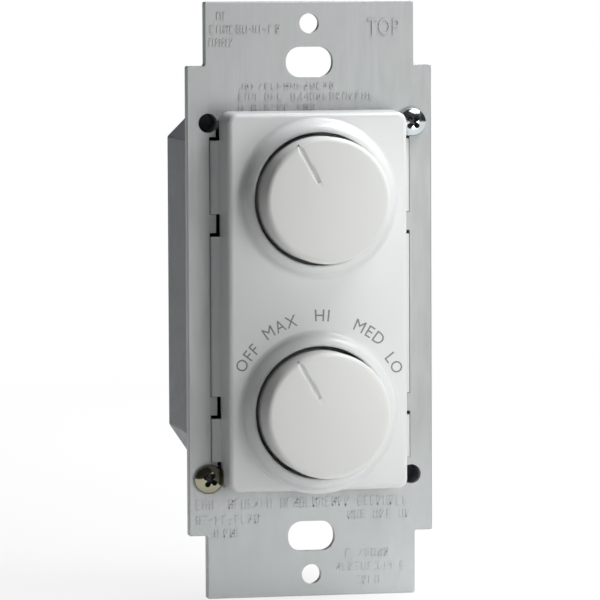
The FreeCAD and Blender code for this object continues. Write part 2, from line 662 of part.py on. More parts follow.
# Dimmer control: carbon track under a wiper wheel, push switch behind
def make_dimmer():
    middle = "light_height"
    front = turned("dimmer_front", bushing_section("dimmer_radius"))
    collar = Sketch(front, "XZ", "collar_end")
    collar.circle("0", "0", "collar_radius").circle("0", "0", "collar_radius - case_wall")
    pad(collar, "collar_end - plate_height")
    finish(seat(front, z=middle), "dimmer_front")
    make_fixings("dimmer", middle)
    make_shaft("dimmer_shaft", middle, "light_setting", "disc_front + tail_beyond")

    inner = "dimmer_radius - case_wall"
    ledge = f"{inner} - case_ledge"
    case = turned("dimmer_case", [
        ("plate_height", inner),
        (DISC_REAR, inner),
        (DISC_REAR, ledge),
        ("case_floor", ledge),
        ("case_floor", "stem_radius + running_fit"),
        ("dimmer_depth", "stem_radius + running_fit"),
        ("dimmer_depth", "dimmer_radius - lead_in"),
        ("dimmer_depth - lead_in", "dimmer_radius", "lead_in"),
        ("plate_height", "dimmer_radius")])
    holes = Sketch(case, "XZ", "case_floor")
    for x, z in terminal_places() + contact_places():
        holes.circle(x, z, BOARD_PIN)
    pocket(holes, through=True)
    finish(seat(case, z=middle), "dimmer_case")

    # Wheel that turns with the shaft while the shaft slides through it
    wheel_front = "collar_end + wheel_gap"
    wheel_rear = f"{wheel_front} + wheel_thick"
    wheel = new_body("dimmer_wheel")
    pad(Sketch(wheel, "XZ", wheel_rear).circle("0", "0", "dimmer_wheel"), "wheel_thick")
    bore = Sketch(wheel, "XZ", wheel_front)
    bore.flatted_circle("tail_radius + running_fit", "tail_radius + running_fit - flat_cut")
    pocket(bore, through=True)
    seat(wheel, z=middle, axis=local_y, angle="light_setting")
    finish(wheel, "dimmer_wheel")

    make_wiper("dimmer_wiper", wheel_rear, "track_dimple", middle, "light_setting")
    disc = cut(rod("track_disc", "0", middle, f"{inner} - contact_gap", "disc_front", DISC_REAR),
               [rod("track_disc_bore", "0", middle, "tail_radius + disc_bore_gap",
                    "0", "dimmer_depth")], "track_disc_cut")
    finish(disc, "dimmer_track_disc")
    track = new_body("dimmer_track")
    pad(Sketch(track, "XZ", "disc_front").circle("0", "0", "track_out")
        .circle("0", "0", "track_in"), "pad_height")
    gap = Sketch(track, "XZ", TRACK_FRONT)
    gap.box("-track_break", "track_break", "-2 * track_out", "-track_in / 2")
    pocket(gap, through=True)
    finish(seat(track, z=middle), "dimmer_track")
    finish(collector_ring("collector", middle), "dimmer_collector")
    pins = [rod(f"dimmer_pin_{i}", x, f"{middle} + {z}", "pin_radius", DISC_REAR, "pin_end")
            for i, (x, z) in enumerate(terminal_places())]
    finish(group(pins, "dimmer_pin_group"), "dimmer_pins")

    # Push switch: plunger and bridge slide back on to two fixed contacts, a coil brings them home
    stem_end = "case_floor + stem_end"
    plunger = turned("push_plunger", [
        ("plunger_front", "0"), (stem_end, "0"), (stem_end, "stem_radius"),
        ("plunger_rear", "stem_radius"), ("plunger_rear", "flange_radius"),
        ("plunger_front", "flange_radius")])
    finish(seat(plunger, z=middle), "push_plunger")
    bridge = new_body("push_bridge")
    long, short = "contact_across + contact_head", "stem_radius + bridge_beside"
    pad(Sketch(bridge, "XZ", "bridge_rear").box(f"-({long})", long, f"-({short})", short),
        "strip_height")
    pocket(Sketch(bridge, "XZ", "plunger_rear").circle("0", "0", "stem_radius + press_gap"),
           through=True)
    finish(seat(bridge, z=middle), "push_bridge")
    contacts = []
    for i, (x, z) in enumerate(contact_places()):
        head = rod(f"push_head_{i}", x, f"{middle} + {z}", "contact_head",
                   "contact_front", "case_floor")
        stem = rod(f"push_stem_{i}", x, f"{middle} + {z}", "pin_radius", "case_floor", "pin_end")
        contacts.append(fused([head, stem], f"push_contact_{i}"))
    finish(group(contacts, "push_contact_group"), "push_contacts")

    # Return coil, open at rest
    coil_front = "bridge_rear + coil_wire"
    finish(coil_spring("push", ("0", coil_front, middle), local_y,
                       f"case_floor - coil_wire - ({coil_front})", "return_coil", 3),
           "push_spring")


def terminal_places():
    """The dimmer's three terminals, below its middle."""
    return [(f"{n} * terminal_pitch", "-terminal_drop") for n in (-1, 0, 1)]


def contact_places():
    """The push switch's two fixed contacts."""
    return [(f"{sign}contact_across", "0") for sign in sides]


def coil_spring(name, start, direction, length, radius, turns):
    """A coil of six-sided wire from its start along a direction."""
    helix = doc.addObject("Part::Helix", name + "_helix")
    drive(helix, Height=length, Pitch=f"({length}) / {turns}", Radius=radius)
    helix.Placement.Rotation = FreeCAD.Rotation(FreeCAD.Vector(0, 0, 1), direction)
    seat(helix, *start)
    doc.recompute()
    wire = doc.addObject("Part::RegularPolygon", name + "_wire")
    wire.Polygon = 6
    drive(wire, Circumradius="coil_wire")
    spine = helix.Shape.Edges[0]
    first = spine.valueAt(spine.FirstParameter)
    heading = spine.tangentAt(spine.FirstParameter)
    wire.Placement = FreeCAD.Placement(first, FreeCAD.Rotation(FreeCAD.Vector(0, 0, 1), heading))
    sweep = doc.addObject("Part::Sweep", name + "_coil")
    sweep.Sections = [wire]
    doc.recompute()
    sweep.Spine = (helix, [f"Edge{i}" for i in range(1, len(helix.Shape.Edges) + 1)])
    sweep.Solid = True
    sweep.Frenet = True
    return sweep


# Fan speed selector: notched wheel and detent ball in a square case, contact wafer behind
def make_selector():
    middle = "fan_height"
    half = "selector_side/2"
    front = turned("selector_front", bushing_section("bushing_radius + plate_beside"))
    pad(Sketch(front, "XZ", "plate_height").box(f"-{half}", half, f"-{half}", half)
        .circle("0", "0", "bushing_radius + plate_beside/2"), "plate_height")
    round_edges(front, "selector_corner", along_depth)
    finish(seat(front, z=middle), "selector_front")
    make_fixings("selector", middle)
    make_shaft("selector_shaft", middle, "fan_setting", "disc_front - lead_in")

    floor = "selector_depth - case_wall"
    case = new_body("selector_case")
    pad(Sketch(case, "XZ", "selector_depth").box(f"-{half}", half, f"-{half}", half),
        "selector_depth - plate_height")
    round_edges(case, "selector_corner", along_depth)
    pocket(Sketch(case, "XZ", "plate_height").circle("0", "0", "selector_bore"),
           f"{DISC_REAR} - plate_height")
    pocket(Sketch(case, "XZ", DISC_REAR).circle("0", "0", "selector_bore - case_ledge"),
           f"{floor} - ({DISC_REAR})")
    # Pocket across the upper right corner for the detent ball and its coil
    near, far, wide = "selector_bore - lead_in", "detent_end", "ball_radius + running_fit"
    track = Sketch(case, "XZ", "wheel_front")
    track.outline([diagonal(near, f"-({wide})"), diagonal(far, f"-({wide})"),
                   diagonal(far, wide), diagonal(near, wide)])
    pocket(track, "wheel_height + wheel_gap")
    holes = Sketch(case, "XZ", floor)
    for x, z in pin_places():
        holes.circle(x, z, BOARD_PIN)
    pocket(holes, through=True)
    finish(seat(case, z=middle), "selector_case")

    # A notch for each step of the pointer
    wheel_rear = "wheel_front + wheel_height"
    wheel = new_body("selector_wheel")
    pad(Sketch(wheel, "XZ", wheel_rear).circle("0", "0", "wheel_radius"), "wheel_height")
    x, z = diagonal("notch_at", "0")
    notch = pocket(Sketch(wheel, "XZ", "wheel_front").circle(x, z, "notch_radius"), through=True)
    repeat_round(wheel, notch, round(number("360 / step_angle")))
    bore = Sketch(wheel, "XZ", "wheel_front")
    bore.flatted_circle("tail_radius + press_gap", "tail_radius + press_gap - flat_cut")
    pocket(bore, through=True)
    seat(wheel, z=middle, axis=local_y, angle="fan_setting")
    finish(wheel, "selector_wheel")
    make_wiper("selector_wiper", wheel_rear, "pad_circle - dimple_inside", middle, "fan_setting")

    # The ball stands clear of the wheel's crests and is pressed in by a coil behind it
    ball_at = "wheel_radius + contact_gap + ball_radius"
    across = "wheel_front + wheel_height/2"
    x, z = diagonal(ball_at, "0")
    ball = doc.addObject("Part::Sphere", "detent_ball")
    drive(ball, Radius="ball_radius")
    finish(seat(ball, x, across, f"{middle} + {z}"), "selector_ball")
    coil_from = f"{ball_at} + ball_radius + coil_wire"
    x, z = diagonal(coil_from, "0")
    finish(coil_spring("detent", (x, across, f"{middle} + {z}"), FreeCAD.Vector(1, 0, 1),
                       f"detent_end - coil_wire - ({coil_from})", "detent_coil", 4),
           "selector_spring")

    wafer = rod("wafer", "0", middle, "selector_bore - contact_gap", "disc_front", DISC_REAR)
    finish(wafer, "selector_wafer")
    pads = [rod(f"pad_{i}", x, f"{middle} + {z}", "pad_radius", TRACK_FRONT, "disc_front")
            for i, (x, z) in enumerate(pin_places()[:-1])]
    finish(group(pads + [collector_ring("common", middle)], "pad_group"), "selector_pads")
    pins = [rod(f"selector_pin_{i}", x, f"{middle} + {z}", "pin_radius", DISC_REAR, "pin_end")
            for i, (x, z) in enumerate(pin_places())]
    finish(group(pins, "selector_pin_group"), "selector_pins")


def diagonal(out, aside):
    """Local place on the ray to the upper right corner, and a distance to the side of it."""
    return (f"(({out}) - ({aside})) * cos(45)", f"(({out}) + ({aside})) * sin(45)")


def pin_places():
    """Five speed contacts, one step apart about the top, and the common one below."""
    steps = [f"{n} * step_angle" for n in (-2, -1, 0, 1, 2)]
    speeds = [(f"pad_circle * sin({a})", f"pad_circle * cos({a})") for a in steps]
    return speeds + [("0", "-common_radius")]


# Light dimmer's power switch, cooled by the strap it is bolted to
def make_power_switch():
    half = "chip_width/2"
    metal_hole = "bolt_radius + bolt_gap"
    sheet = block("sheet_blank", "chip_left - sheet_margin", "chip_right + sheet_margin",
                  "0", "sheet_height", f"-{half} - sheet_margin", f"{half} + sheet_margin")
    finish(cut(sheet, [rod("sheet_hole", "bolt_at", "0", metal_hole, STRAP_FRONT, CHIP_FRONT)],
               "sheet"), "power_switch_insulator")
    metal = block("metal_blank", "chip_left", "chip_right", "sheet_height", CHIP_FRONT,
                  f"-{half}", half)
    finish(cut(metal, [rod("metal_hole", "bolt_at", "0", metal_hole, "0", "2 * metal_height")],
               "metal"), "power_switch_tab")
    chip_rear = f"{CHIP_FRONT} + chip_height"
    chip = block("chip_blank", "chip_left + chip_tab", "chip_right", CHIP_FRONT, chip_rear,
                 f"-{half} + chip_in", f"{half} - chip_in")
    finish(eased(chip, "lead_in", "chip", lambda e: at_depth(e, chip_rear)), "power_switch_body")
    legs = []
    leg_front = f"{CHIP_FRONT} + leg_up"
    for i, z in enumerate(leg_places()):
        low, high = f"{z} - leg_half", f"{z} + leg_half"
        out = block(f"leg_out_{i}", "chip_right", "chip_right + leg_out",
                    leg_front, f"{leg_front} + leg_thick", low, high)
        back = block(f"leg_back_{i}", "chip_right + leg_out - leg_thick", "chip_right + leg_out",
                     leg_front, "pin_end", low, high)
        legs.append(fused([out, back], f"leg_{i}"))
    finish(group(legs, "leg_group"), "power_switch_leads")
    screw = turned("bolt", [
        (f"{STRAP_FRONT} - bolt_head_height", "0"),
        (f"{CHIP_FRONT} + bolt_beyond", "0"),
        (f"{CHIP_FRONT} + bolt_beyond", "bolt_radius"),
        (STRAP_FRONT, "bolt_radius"),
        (STRAP_FRONT, "bolt_head"),
        (f"{STRAP_FRONT} - bolt_head_height + lead_in", "bolt_head"),
        (f"{STRAP_FRONT} - bolt_head_height", "bolt_head - lead_in")])
    finish(seat(screw, x="bolt_at"), "power_switch_screw")
    nut = new_body("bolt_nut")
    pad(Sketch(nut, "XZ", f"{CHIP_FRONT} + bolt_nut_height").outline(hexagon("bolt_nut_flats")),
        "bolt_nut_height")
    pocket(Sketch(nut, "XZ", CHIP_FRONT).circle("0", "0", "bolt_radius + press_gap"),
           through=True)
    finish(seat(nut, x="bolt_at"), "power_switch_nut")


def leg_places():
    return [f"{n} * leg_pitch" for n in (-1, 0, 1)]


# Outline of the back housing, seen along Y, drawn in by a distance from its outside
def housing_outline(inset):
    side, end = f"(housing_width/2 - ({inset}))", f"(housing_end - ({inset}))"
    right = []
    for sign, corner in (("-", "foot_cut"), ("", "top_cut")):
        angle = f"{corner}_angle"
        beside = f"(housing_end - {corner} - ({inset}) * tan({angle} / 2))"
        reach = f"({end} - {beside}) * tan({angle})"
        pair = [(f"{side} - {reach}", f"{sign}{end}"), (side, f"{sign}{beside}")]
        right += pair if sign else pair[::-1]
    left = [(f"-({x})", z) for x, z in reversed(right)]
    return right + left


# Back housing: deep cup with its corners cut back, and a shallow square flange
def make_housing():
    body = new_body("housing")
    side, end = "housing_width/2", "housing_end"
    pad(Sketch(body, "XZ", "housing_depth").outline(housing_outline("0")), "housing_depth")
    round_edges(body, "housing_edge", along_depth)
    round_edges(body, "housing_edge", lambda e: at_depth(e, "housing_depth"))
    flange = Sketch(body, "XZ", "flange_depth").box(f"-{side}", side, f"-{end}", end)
    pad(flange, "flange_depth")
    round_edges(body, "flange_corner", lambda e: along_depth(e)
                and abs(abs(e.BoundBox.XMin) - number(side)) < 1e-3
                and abs(abs(e.BoundBox.ZMin) - number(end)) < 1e-3)
    pocket(Sketch(body, "XZ").outline(housing_outline("housing_wall")), HOUSING_FLOOR)
    # The mouth is square for a short way, so that the frame's hooks have room
    mouth, mouth_end = f"({side} - housing_wall)", "(upper_tab_top + hook_room)"
    pocket(Sketch(body, "XZ").box(f"-{mouth}", mouth, f"-{mouth_end}", mouth_end),
           "tab_hook + hook_room")

    # Board posts, each with a pin that the board drops over
    for radius, top in (("post_radius", "board_rear"), ("post_pin", "board_front - lead_in")):
        posts = Sketch(body, "XZ", HOUSING_FLOOR)
        for x, z in post_places():
            posts.circle(x, z, radius)
        pad(posts, f"{HOUSING_FLOOR} - ({top})")
    leads = Sketch(body, "XZ", HOUSING_FLOOR)
    for x in lead_places():
        leads.circle(x, "lead_height", "lead_hole/2")
    pocket(leads, through=True)
    for places, radius in ((screwed, "screw_radius + press_gap"),
                           (open_holes, "corner_hole/2 + running_fit")):
        holes = Sketch(body, "XZ")
        for x, z in places:
            holes.circle(x, z, radius)
        pocket(holes, "flange_depth - hole_floor")
    return finish(body, "back_housing")


def post_places():
    return [(f"{sign}post_across/2", z) for sign in sides for z in ("post_top", "-post_foot")]


def lead_places():
    count = int(number("lead_count"))
    return [f"{i - (count - 1) / 2} * lead_pitch" for i in range(count)]


def make_housing_screws():
    screws = []
    for i, (x, z) in enumerate(screwed):
        head = f"{STRAP_FRONT} - screw_head_height"
        screw = turned(f"housing_screw_{i}", [
            (head, "0"),
            ("screw_reach", "0"),
            ("screw_reach", "screw_radius - lead_in"),
            ("screw_reach - 2 * lead_in", "screw_radius"),
            (STRAP_FRONT, "screw_radius"),
            (STRAP_FRONT, "screw_head/2"),
            (f"{STRAP_FRONT} - screw_rim", "screw_head/2"),
            (head, "screw_head/5", "screw_head/2")])
        screws.append(seat(screw, x=x, z=z))
    finish(group(screws, "housing_screw_group"), "housing_screws")


# Circuit board across the housing, with the parts for smoothing and speed control behind it.
# Film capacitors stand on the board: left, right, low, high, depth
cans = {
    "filter_capacitor": ("-filter_length/2", "filter_length/2",
                         "board_top - filter_width", "board_top", "rear_room - filter_room"),
    "speed_capacitor_large": ("large_beside - board_side", "can_middle", "can_foot",
                              "can_foot + large_width", "rear_room - large_room"),
    "speed_capacitor_small": ("can_middle + can_gap", "board_side - small_beside", "can_foot",
                              "can_foot + small_width", "rear_room - small_room"),
}
# Resistors and the diode lie on it: right end, length, height up the board, radius
lying = {
    "resistor_low": ("board_side - resistor_beside", "resistor_length", "resistor_up",
                     "resistor_radius"),
    "resistor_high": ("board_side - resistor_beside", "resistor_length",
                      "resistor_up + resistor_pitch", "resistor_radius"),
    "diode": ("board_side - diode_beside", "diode_length", "diode_up", "diode_radius"),
}


def make_board_parts():
    for name, (left, right, low, high, depth) in cans.items():
        base = block(name + "_blank", left, right, "board_rear", f"board_rear + {depth}", low, high)
        finish(eased(base, "can_edge", name + "_eased", lambda e: not at_depth(e, "board_rear")),
               name)

    # Drum choke lying across the board
    centre = "board_rear + choke_radius + contact_gap"
    neck = "coil_half + press_gap"
    core = turned("choke", [
        ("-choke_half", "0"), ("choke_half", "0"), ("choke_half", "choke_radius"),
        (neck, "choke_radius"), (neck, "choke_neck"), (f"-({neck})", "choke_neck"),
        (f"-({neck})", "choke_radius"), ("-choke_half", "choke_radius")])
    turns = 10
    inside = "choke_neck + press_gap"
    corners = [("-coil_half", inside), ("coil_half", inside)]
    for n in range(2 * turns + 1):
        crest = "winding_radius" if n % 2 else "winding_radius - winding_groove"
        corners.append((f"coil_half * {1 - n / turns}", crest))
    winding = turned("winding", corners)
    for body, label in ((core, "choke_core"), (winding, "choke_winding")):
        body.Placement.Rotation = FreeCAD.Rotation(FreeCAD.Vector(0, 0, 1), -90)
        finish(seat(body, "-choke_left", centre, "choke_up"), label)

    # Two power resistors, a glass trigger diode and a disc timing capacitor
    rods = {}
    for name, (right, length, z, radius) in lying.items():
        blank = cross_rod(name + "_blank", f"{right} - {length}", right,
                          f"board_rear + {radius}", z, radius)
        rods[name] = eased(blank, "lead_in", name, lambda e: True)
    finish(group([rods["resistor_low"], rods["resistor_high"]], "resistor_group"),
           "power_resistors")
    finish(rods["diode"], "trigger_diode")
    disc = cross_rod("timing", "-disc_left - disc_half", "disc_half - disc_left",
                     "board_rear + disc_radius + wheel_gap", "disc_up", "disc_radius")
    finish(eased(disc, "can_edge", "timing_eased", lambda e: True), "timing_capacitor")

    # Wire ends of all those parts, through the board
    wires = []
    for name, (right, length, z, radius) in lying.items():
        left = f"{right} - {length}"
        for end, inner, outer in (("left", left, f"{left} - wire_out"),
                                  ("right", right, f"{right} + wire_out")):
            ends = (outer, inner) if end == "left" else (inner, outer)
            along = cross_rod(f"{name}_{end}_along", *ends, f"board_rear + {radius}", z,
                              "lead_wire * 0.85")
            down = rod(f"{name}_{end}_down", outer, z, "lead_wire", "board_front - pin_proud",
                       f"board_rear + {radius} + lead_wire")
            wires.append(fused([along, down], f"{name}_{end}"))
    for i, (x, z) in enumerate(standing_wires()):
        wires.append(rod(f"foot_{i}", x, z, "lead_wire", "board_front - pin_proud", "board_rear"))
    finish(group(wires, "wire_group"), "component_leads")


def standing_wires():
    """Feet of the parts that stand on the board."""
    feet = []
    for left, right, low, high, _ in cans.values():
        middle = f"(({low}) + ({high})) / 2"
        feet += [(f"{left} + foot_in", middle), (f"{right} - foot_in", middle)]
    feet += [("-disc_left", f"disc_up {sign} disc_feet") for sign in "+-"]
    feet += [(f"-choke_left {sign} (choke_half - cheek_width/2)", "choke_up") for sign in "+-"]
    return feet


def make_board():
    board = new_body("board")
    outline = housing_outline("housing_wall + board_gap")
    pad(Sketch(board, "XZ", "board_rear").outline(outline), "board_height")
    round_edges(board, "board_corner", along_depth)
    holes = Sketch(board, "XZ", "board_front")
    for x, z in post_places():
        holes.circle(x, z, "post_pin + running_fit")
    for x, z in terminal_places() + contact_places():
        holes.circle(x, f"light_height + {z}", BOARD_PIN)
    for x, z in pin_places():
        holes.circle(x, f"fan_height + {z}", BOARD_PIN)
    for z in leg_places():
        holes.circle("chip_right + leg_out - leg_thick/2", z, "leg_half + leg_thick/2")
    for right, length, z, _ in lying.values():
        for x in (f"{right} - {length} - wire_out", f"{right} + wire_out"):
            holes.circle(x, z, "lead_wire + running_fit")
    for x, z in standing_wires():
        holes.circle(x, z, "lead_wire + running_fit")
    for x in lead_places():
        holes.circle(x, "lead_height", "eyelet_hole")
    pocket(holes, through=True)
    finish(board, "circuit_board")

    # Brass eyelets where the outside leads are soldered, in line with the housing's holes
    eyelets = []
    for i, x in enumerate(lead_places()):
        rim = rod(f"eyelet_rim_{i}", x, "lead_height", "eyelet_rim", "board_rear",
                  "board_rear + lead_in")
        tube = rod(f"eyelet_tube_{i}", x, "lead_height", "eyelet_hole - press_gap",
                   "board_front - strip_height", "board_rear")
        bore = rod(f"eyelet_bore_{i}", x, "lead_height", "eyelet_bore", "dimmer_depth",
                   "housing_depth")
        eyelets.append(cut(fused([rim, tube], f"eyelet_outer_{i}"), [bore], f"eyelet_{i}"))
    finish(group(eyelets, "eyelet_group"), "lead_eyelets")


make_strap()
make_frame()
make_knob("light_knob", "light_height", "light_setting")
make_knob("fan_knob", "fan_height", "fan_setting")
make_dimmer()
make_selector()
make_power_switch()
make_board()
make_board_parts()
make_housing()
make_housing_screws()
doc.recompute()

# Every feature must have worked before anything is written
for item in doc.Objects:
    if "Invalid" in item.State or "Error" in item.State:
        raise ValueError(f"{item.Label} is {item.State}")
for item in finished:
    if item.Shape.isNull() or not item.Shape.isValid() or not item.Shape.Solids:
        raise ValueError(f"{item.Label} has no sound solid")
    item.Shape.exportStep(f"parts/{item.Label}.step")
    print(f"{item.Label:28s} {len(item.Shape.Solids):3d} solid(s) {item.Shape.Volume:10.1f} mm3")
print(len(finished), "parts written")
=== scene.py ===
import math
import bpy
import bmesh
from mathutils import Matrix, Vector


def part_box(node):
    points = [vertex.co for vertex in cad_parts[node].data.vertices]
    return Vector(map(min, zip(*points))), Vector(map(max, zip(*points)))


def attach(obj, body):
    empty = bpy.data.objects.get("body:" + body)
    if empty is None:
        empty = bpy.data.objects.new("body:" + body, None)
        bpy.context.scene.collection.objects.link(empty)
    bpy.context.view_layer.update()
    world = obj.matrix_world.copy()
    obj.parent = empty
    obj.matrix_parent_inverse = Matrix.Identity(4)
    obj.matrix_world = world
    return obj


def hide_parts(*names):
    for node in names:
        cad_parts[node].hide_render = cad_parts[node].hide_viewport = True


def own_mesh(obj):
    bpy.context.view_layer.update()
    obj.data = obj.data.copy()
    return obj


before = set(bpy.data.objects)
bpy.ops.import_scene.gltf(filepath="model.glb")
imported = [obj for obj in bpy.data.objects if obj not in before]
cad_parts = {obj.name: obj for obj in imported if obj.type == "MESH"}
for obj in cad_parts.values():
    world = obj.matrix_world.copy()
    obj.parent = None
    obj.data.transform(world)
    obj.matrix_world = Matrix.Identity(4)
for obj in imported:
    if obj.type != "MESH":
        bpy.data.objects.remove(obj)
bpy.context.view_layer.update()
mm = 0.001
white = (1, 1, 1, 1)
print("frame loaded:", len(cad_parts), "CAD nodes")


# Node trees

class Nodes:
    # adds nodes to a tree; a socket gets a value or another node's output
    def __init__(self, tree):
        self.tree = tree

    def set(self, socket, value):
        if isinstance(value, bpy.types.NodeSocket):
            self.tree.links.new(value, socket)
        else:
            socket.default_value = value

    def add(self, kind, sockets=(), **settings):
        node = self.tree.nodes.new(kind)
        for name, value in settings.items():
            setattr(node, name, value)
        for name, value in dict(sockets).items():
            self.set(node.inputs[name], value)
        return node

    def maths(self, operation, first, second, **settings):
        sockets = {0: first, 1: second}
        return self.add("ShaderNodeMath", sockets, operation=operation, **settings).outputs[0]


class Finish(Nodes):
    # a material made from noises over Object coordinates
    def __init__(self, name):
        self.material = bpy.data.materials.new(name)
        self.material.use_nodes = True
        super().__init__(self.material.node_tree)
        self.shader = self.tree.nodes["Principled BSDF"]
        self.place = self.add("ShaderNodeTexCoord").outputs["Object"]
        self.relief = None

    def noise(self, scale, detail, rough=0.55, stretch=(1, 1, 1)):
        # the scale is per metre, and a stretch below 1 draws the pattern out that way
        place = self.add("ShaderNodeMapping", {"Vector": self.place, "Scale": stretch})
        sockets = {"Vector": place.outputs[0], "Scale": scale, "Detail": detail,
                   "Roughness": rough}
        return self.add("ShaderNodeTexNoise", sockets).outputs["Fac"]

    def spread(self, source, low, high, first=0.35, last=0.65, **settings):
        # low where the source is first, high where it is last, and even in between
        sockets = {"Value": source, "From Min": first, "From Max": last, "To Min": low,
                   "To Max": high}
        return self.add("ShaderNodeMapRange", sockets, **settings).outputs["Result"]

    def mixed(self, factor, first, second, how="MIX"):
        # a Mix node's factor is socket 0, and its two colours are sockets 6 and 7
        sockets = {0: factor, 6: first, 7: second}
        return self.add("ShaderNodeMix", sockets, data_type="RGBA", blend_type=how).outputs[2]

    def bump(self, source, depth):
        # relief of this depth in millimetres, over the relief that is there
        sockets = {"Height": source, "Strength": 1.0, "Distance": depth * mm}
        node = self.add("ShaderNodeBump", sockets)
        if self.relief:
            self.set(node.inputs["Normal"], self.relief)
        self.relief = node.outputs["Normal"]
        self.look(Normal=self.relief)

    def look(self, **values):
        # sets the shader's sockets, an underscore standing for a space in a name
        for name, value in values.items():
            self.set(self.shader.inputs[name.replace("_", " ")], value)


class Growing(Nodes):
    # a geometry node tree with named inputs, whose result is made real and painted
    def __init__(self, name, **inputs):
        super().__init__(bpy.data.node_groups.new(name, "GeometryNodeTree"))
        face = self.tree.interface
        face.new_socket("Geometry", in_out="OUTPUT", socket_type="NodeSocketGeometry")
        for socket, kind in inputs.items():
            face.new_socket(socket, in_out="INPUT", socket_type="NodeSocket" + kind)
        self.given = self.tree.nodes.new("NodeGroupInput").outputs
        self.result = self.tree.nodes.new("NodeGroupOutput")

    def plus(self, first, second):
        return self.maths("ADD", first, second)

    def minus(self, first, second):
        return self.maths("SUBTRACT", first, second)

    def times(self, first, second):
        return self.maths("MULTIPLY", first, second)

    def vector(self, x=0.0, y=0.0, z=0.0):
        return self.add("ShaderNodeCombineXYZ", {"X": x, "Y": y, "Z": z}).outputs[0]

    def number(self):
        # each point's own number, from 0
        return self.add("GeometryNodeInputIndex").outputs[0]

    def choice(self, kind, values):
        # the value that belongs to each point's number
        node = self.add("GeometryNodeIndexSwitch", data_type=kind)
        while len(node.index_switch_items) < len(values):
            node.index_switch_items.new()
        for i, value in enumerate([self.number(), *values]):
            self.set(node.inputs[i], value)
        return node.outputs[0]

    def block(self, across, along, up):
        size = self.vector(across, along, up)
        return self.add("GeometryNodeMeshCube", {"Size": size}).outputs[0]

    def placed(self, shape, positions):
        sockets = {"Geometry": shape, "Position": positions}
        return self.add("GeometryNodeSetPosition", sockets).outputs[0]

    def moved(self, shape, shift=(0, 0, 0), turn=(0, 0, 0)):
        sockets = {"Geometry": shape, "Translation": shift, "Rotation": turn}
        return self.add("GeometryNodeTransform", sockets).outputs[0]

    def without(self, shape, cutter):
        sockets = {"Mesh 1": shape, "Mesh 2": cutter}
        node = self.add("GeometryNodeMeshBoolean", sockets, operation="DIFFERENCE", solver="EXACT")
        return node.outputs[0]

    def finish(self, shape, material):
        real = self.add("GeometryNodeRealizeInstances", {"Geometry": shape}).outputs[0]
        sockets = {"Geometry": real, "Material": material}
        painted = self.add("GeometryNodeSetMaterial", sockets)
        self.set(self.result.inputs["Geometry"], painted.outputs[0])
        return self.tree


# Materials

def linear(grey, tint):
    # a screen grey of 0 to 255 as a scene colour
    value = grey / 255
    value = value / 12.92 if value <= 0.04045 else ((value + 0.055) / 1.055) ** 2.4
    return (value * tint[0], value * tint[1], value * tint[2], 1.0)


def shaded(colour, share):
    # the colour at a share of its brightness
    return tuple(part * share for part in colour[:3]) + (1.0,)


# A noise is its scale and detail, then its roughness and stretch where they aren't the usual
# ones. Depths are in millimetres, the scatter's reach is in metres
moulded = {"patches": (60, 2), "glossSpan": (0.2, 0.8), "grainDetail": 2, "flow": (120, 1),
           "flowDepth": 0.004, "coatRough": 0.15, "scatterReach": (0.001, 0.0009, 0.0008)}
drawn = {"patches": (150, 3), "marks": (900, 3, 0.6), "marksDepth": 0.01}


def plastic(name, grey, tint, rough, vary, grain, grainScale=3000, gloss=(400, 3), coat=0.0,
            scatter=0.0, shine=0.5):
    # moulded plastic: slightly uneven colour and gloss, fine grain, faint flow marks
    finish = Finish(name)
    base = linear(grey, tint)
    patches = finish.spread(finish.noise(*moulded["patches"]), 0, 1)
    sheen = finish.spread(finish.noise(*gloss), *rough, *moulded["glossSpan"])
    finish.look(Base_Color=finish.mixed(patches, shaded(base, 1 - vary), base), Roughness=sheen,
                Coat_Weight=coat, Coat_Roughness=moulded["coatRough"], Specular_IOR_Level=shine)
    if grain:
        finish.bump(finish.noise(grainScale, moulded["grainDetail"]), grain)
    finish.bump(finish.noise(*moulded["flow"]), moulded["flowDepth"])
    if scatter:
        finish.look(Subsurface_Weight=scatter, Subsurface_Radius=moulded["scatterReach"],
                    Subsurface_Scale=1.0)
    return finish.material


def metal(name, grey, tint, rough, stretch=(1, 1, 1), vary=0.12):
    # bare or plated metal: fine marks, duller and brighter patches
    finish = Finish(name)
    base = linear(grey, tint)
    patches = finish.spread(finish.noise(*drawn["patches"]), 0, 1)
    marks = finish.noise(*drawn["marks"], stretch)
    finish.look(Base_Color=finish.mixed(patches, shaded(base, 1 - vary), base),
                Roughness=finish.spread(marks, *rough), Metallic=1.0)
    finish.bump(marks, drawn["marksDepth"])
    return finish.material


strapZinc = {  # a tone is a grey with its tint; heights and the edge are in millimetres
    "dull": (175, (0.975, 1.0, 1.0)), "pale": (181, (0.98, 1.0, 1.01)),
    "clouds": (55, 4, 0.55), "cloudSpan": (0.3, 0.7),
    "rolled": (1300, 3, 0.6, (1, 1, 0.06)), "rolledSpan": (0.36, 0.64),
    # painted light: the grey the strap brightens to towards its lower end, and the heights where
    # that starts and ends
    "paintedLowLight": (209, (0.97, 1.0, 1.01)), "paintedLowLightFrom": -22, "paintedLowLightTo": -48,
    # painted light and shade: the left edge's share of brightness, the right edge's, and how far
    # each lies from the middle
    "left": 1.12, "right": 0.92, "edge": 22, "metallic": 0.35,
    "gloss": (900, 3, 0.5, (1, 1, 0.2)), "rough": (0.5, 0.58),
    "grain": (3800, 3, 0.7), "grainDepth": 0.006,
    "lines": (1300, 2, 0.5, (1, 1, 0.06)), "linesDepth": 0.0007}


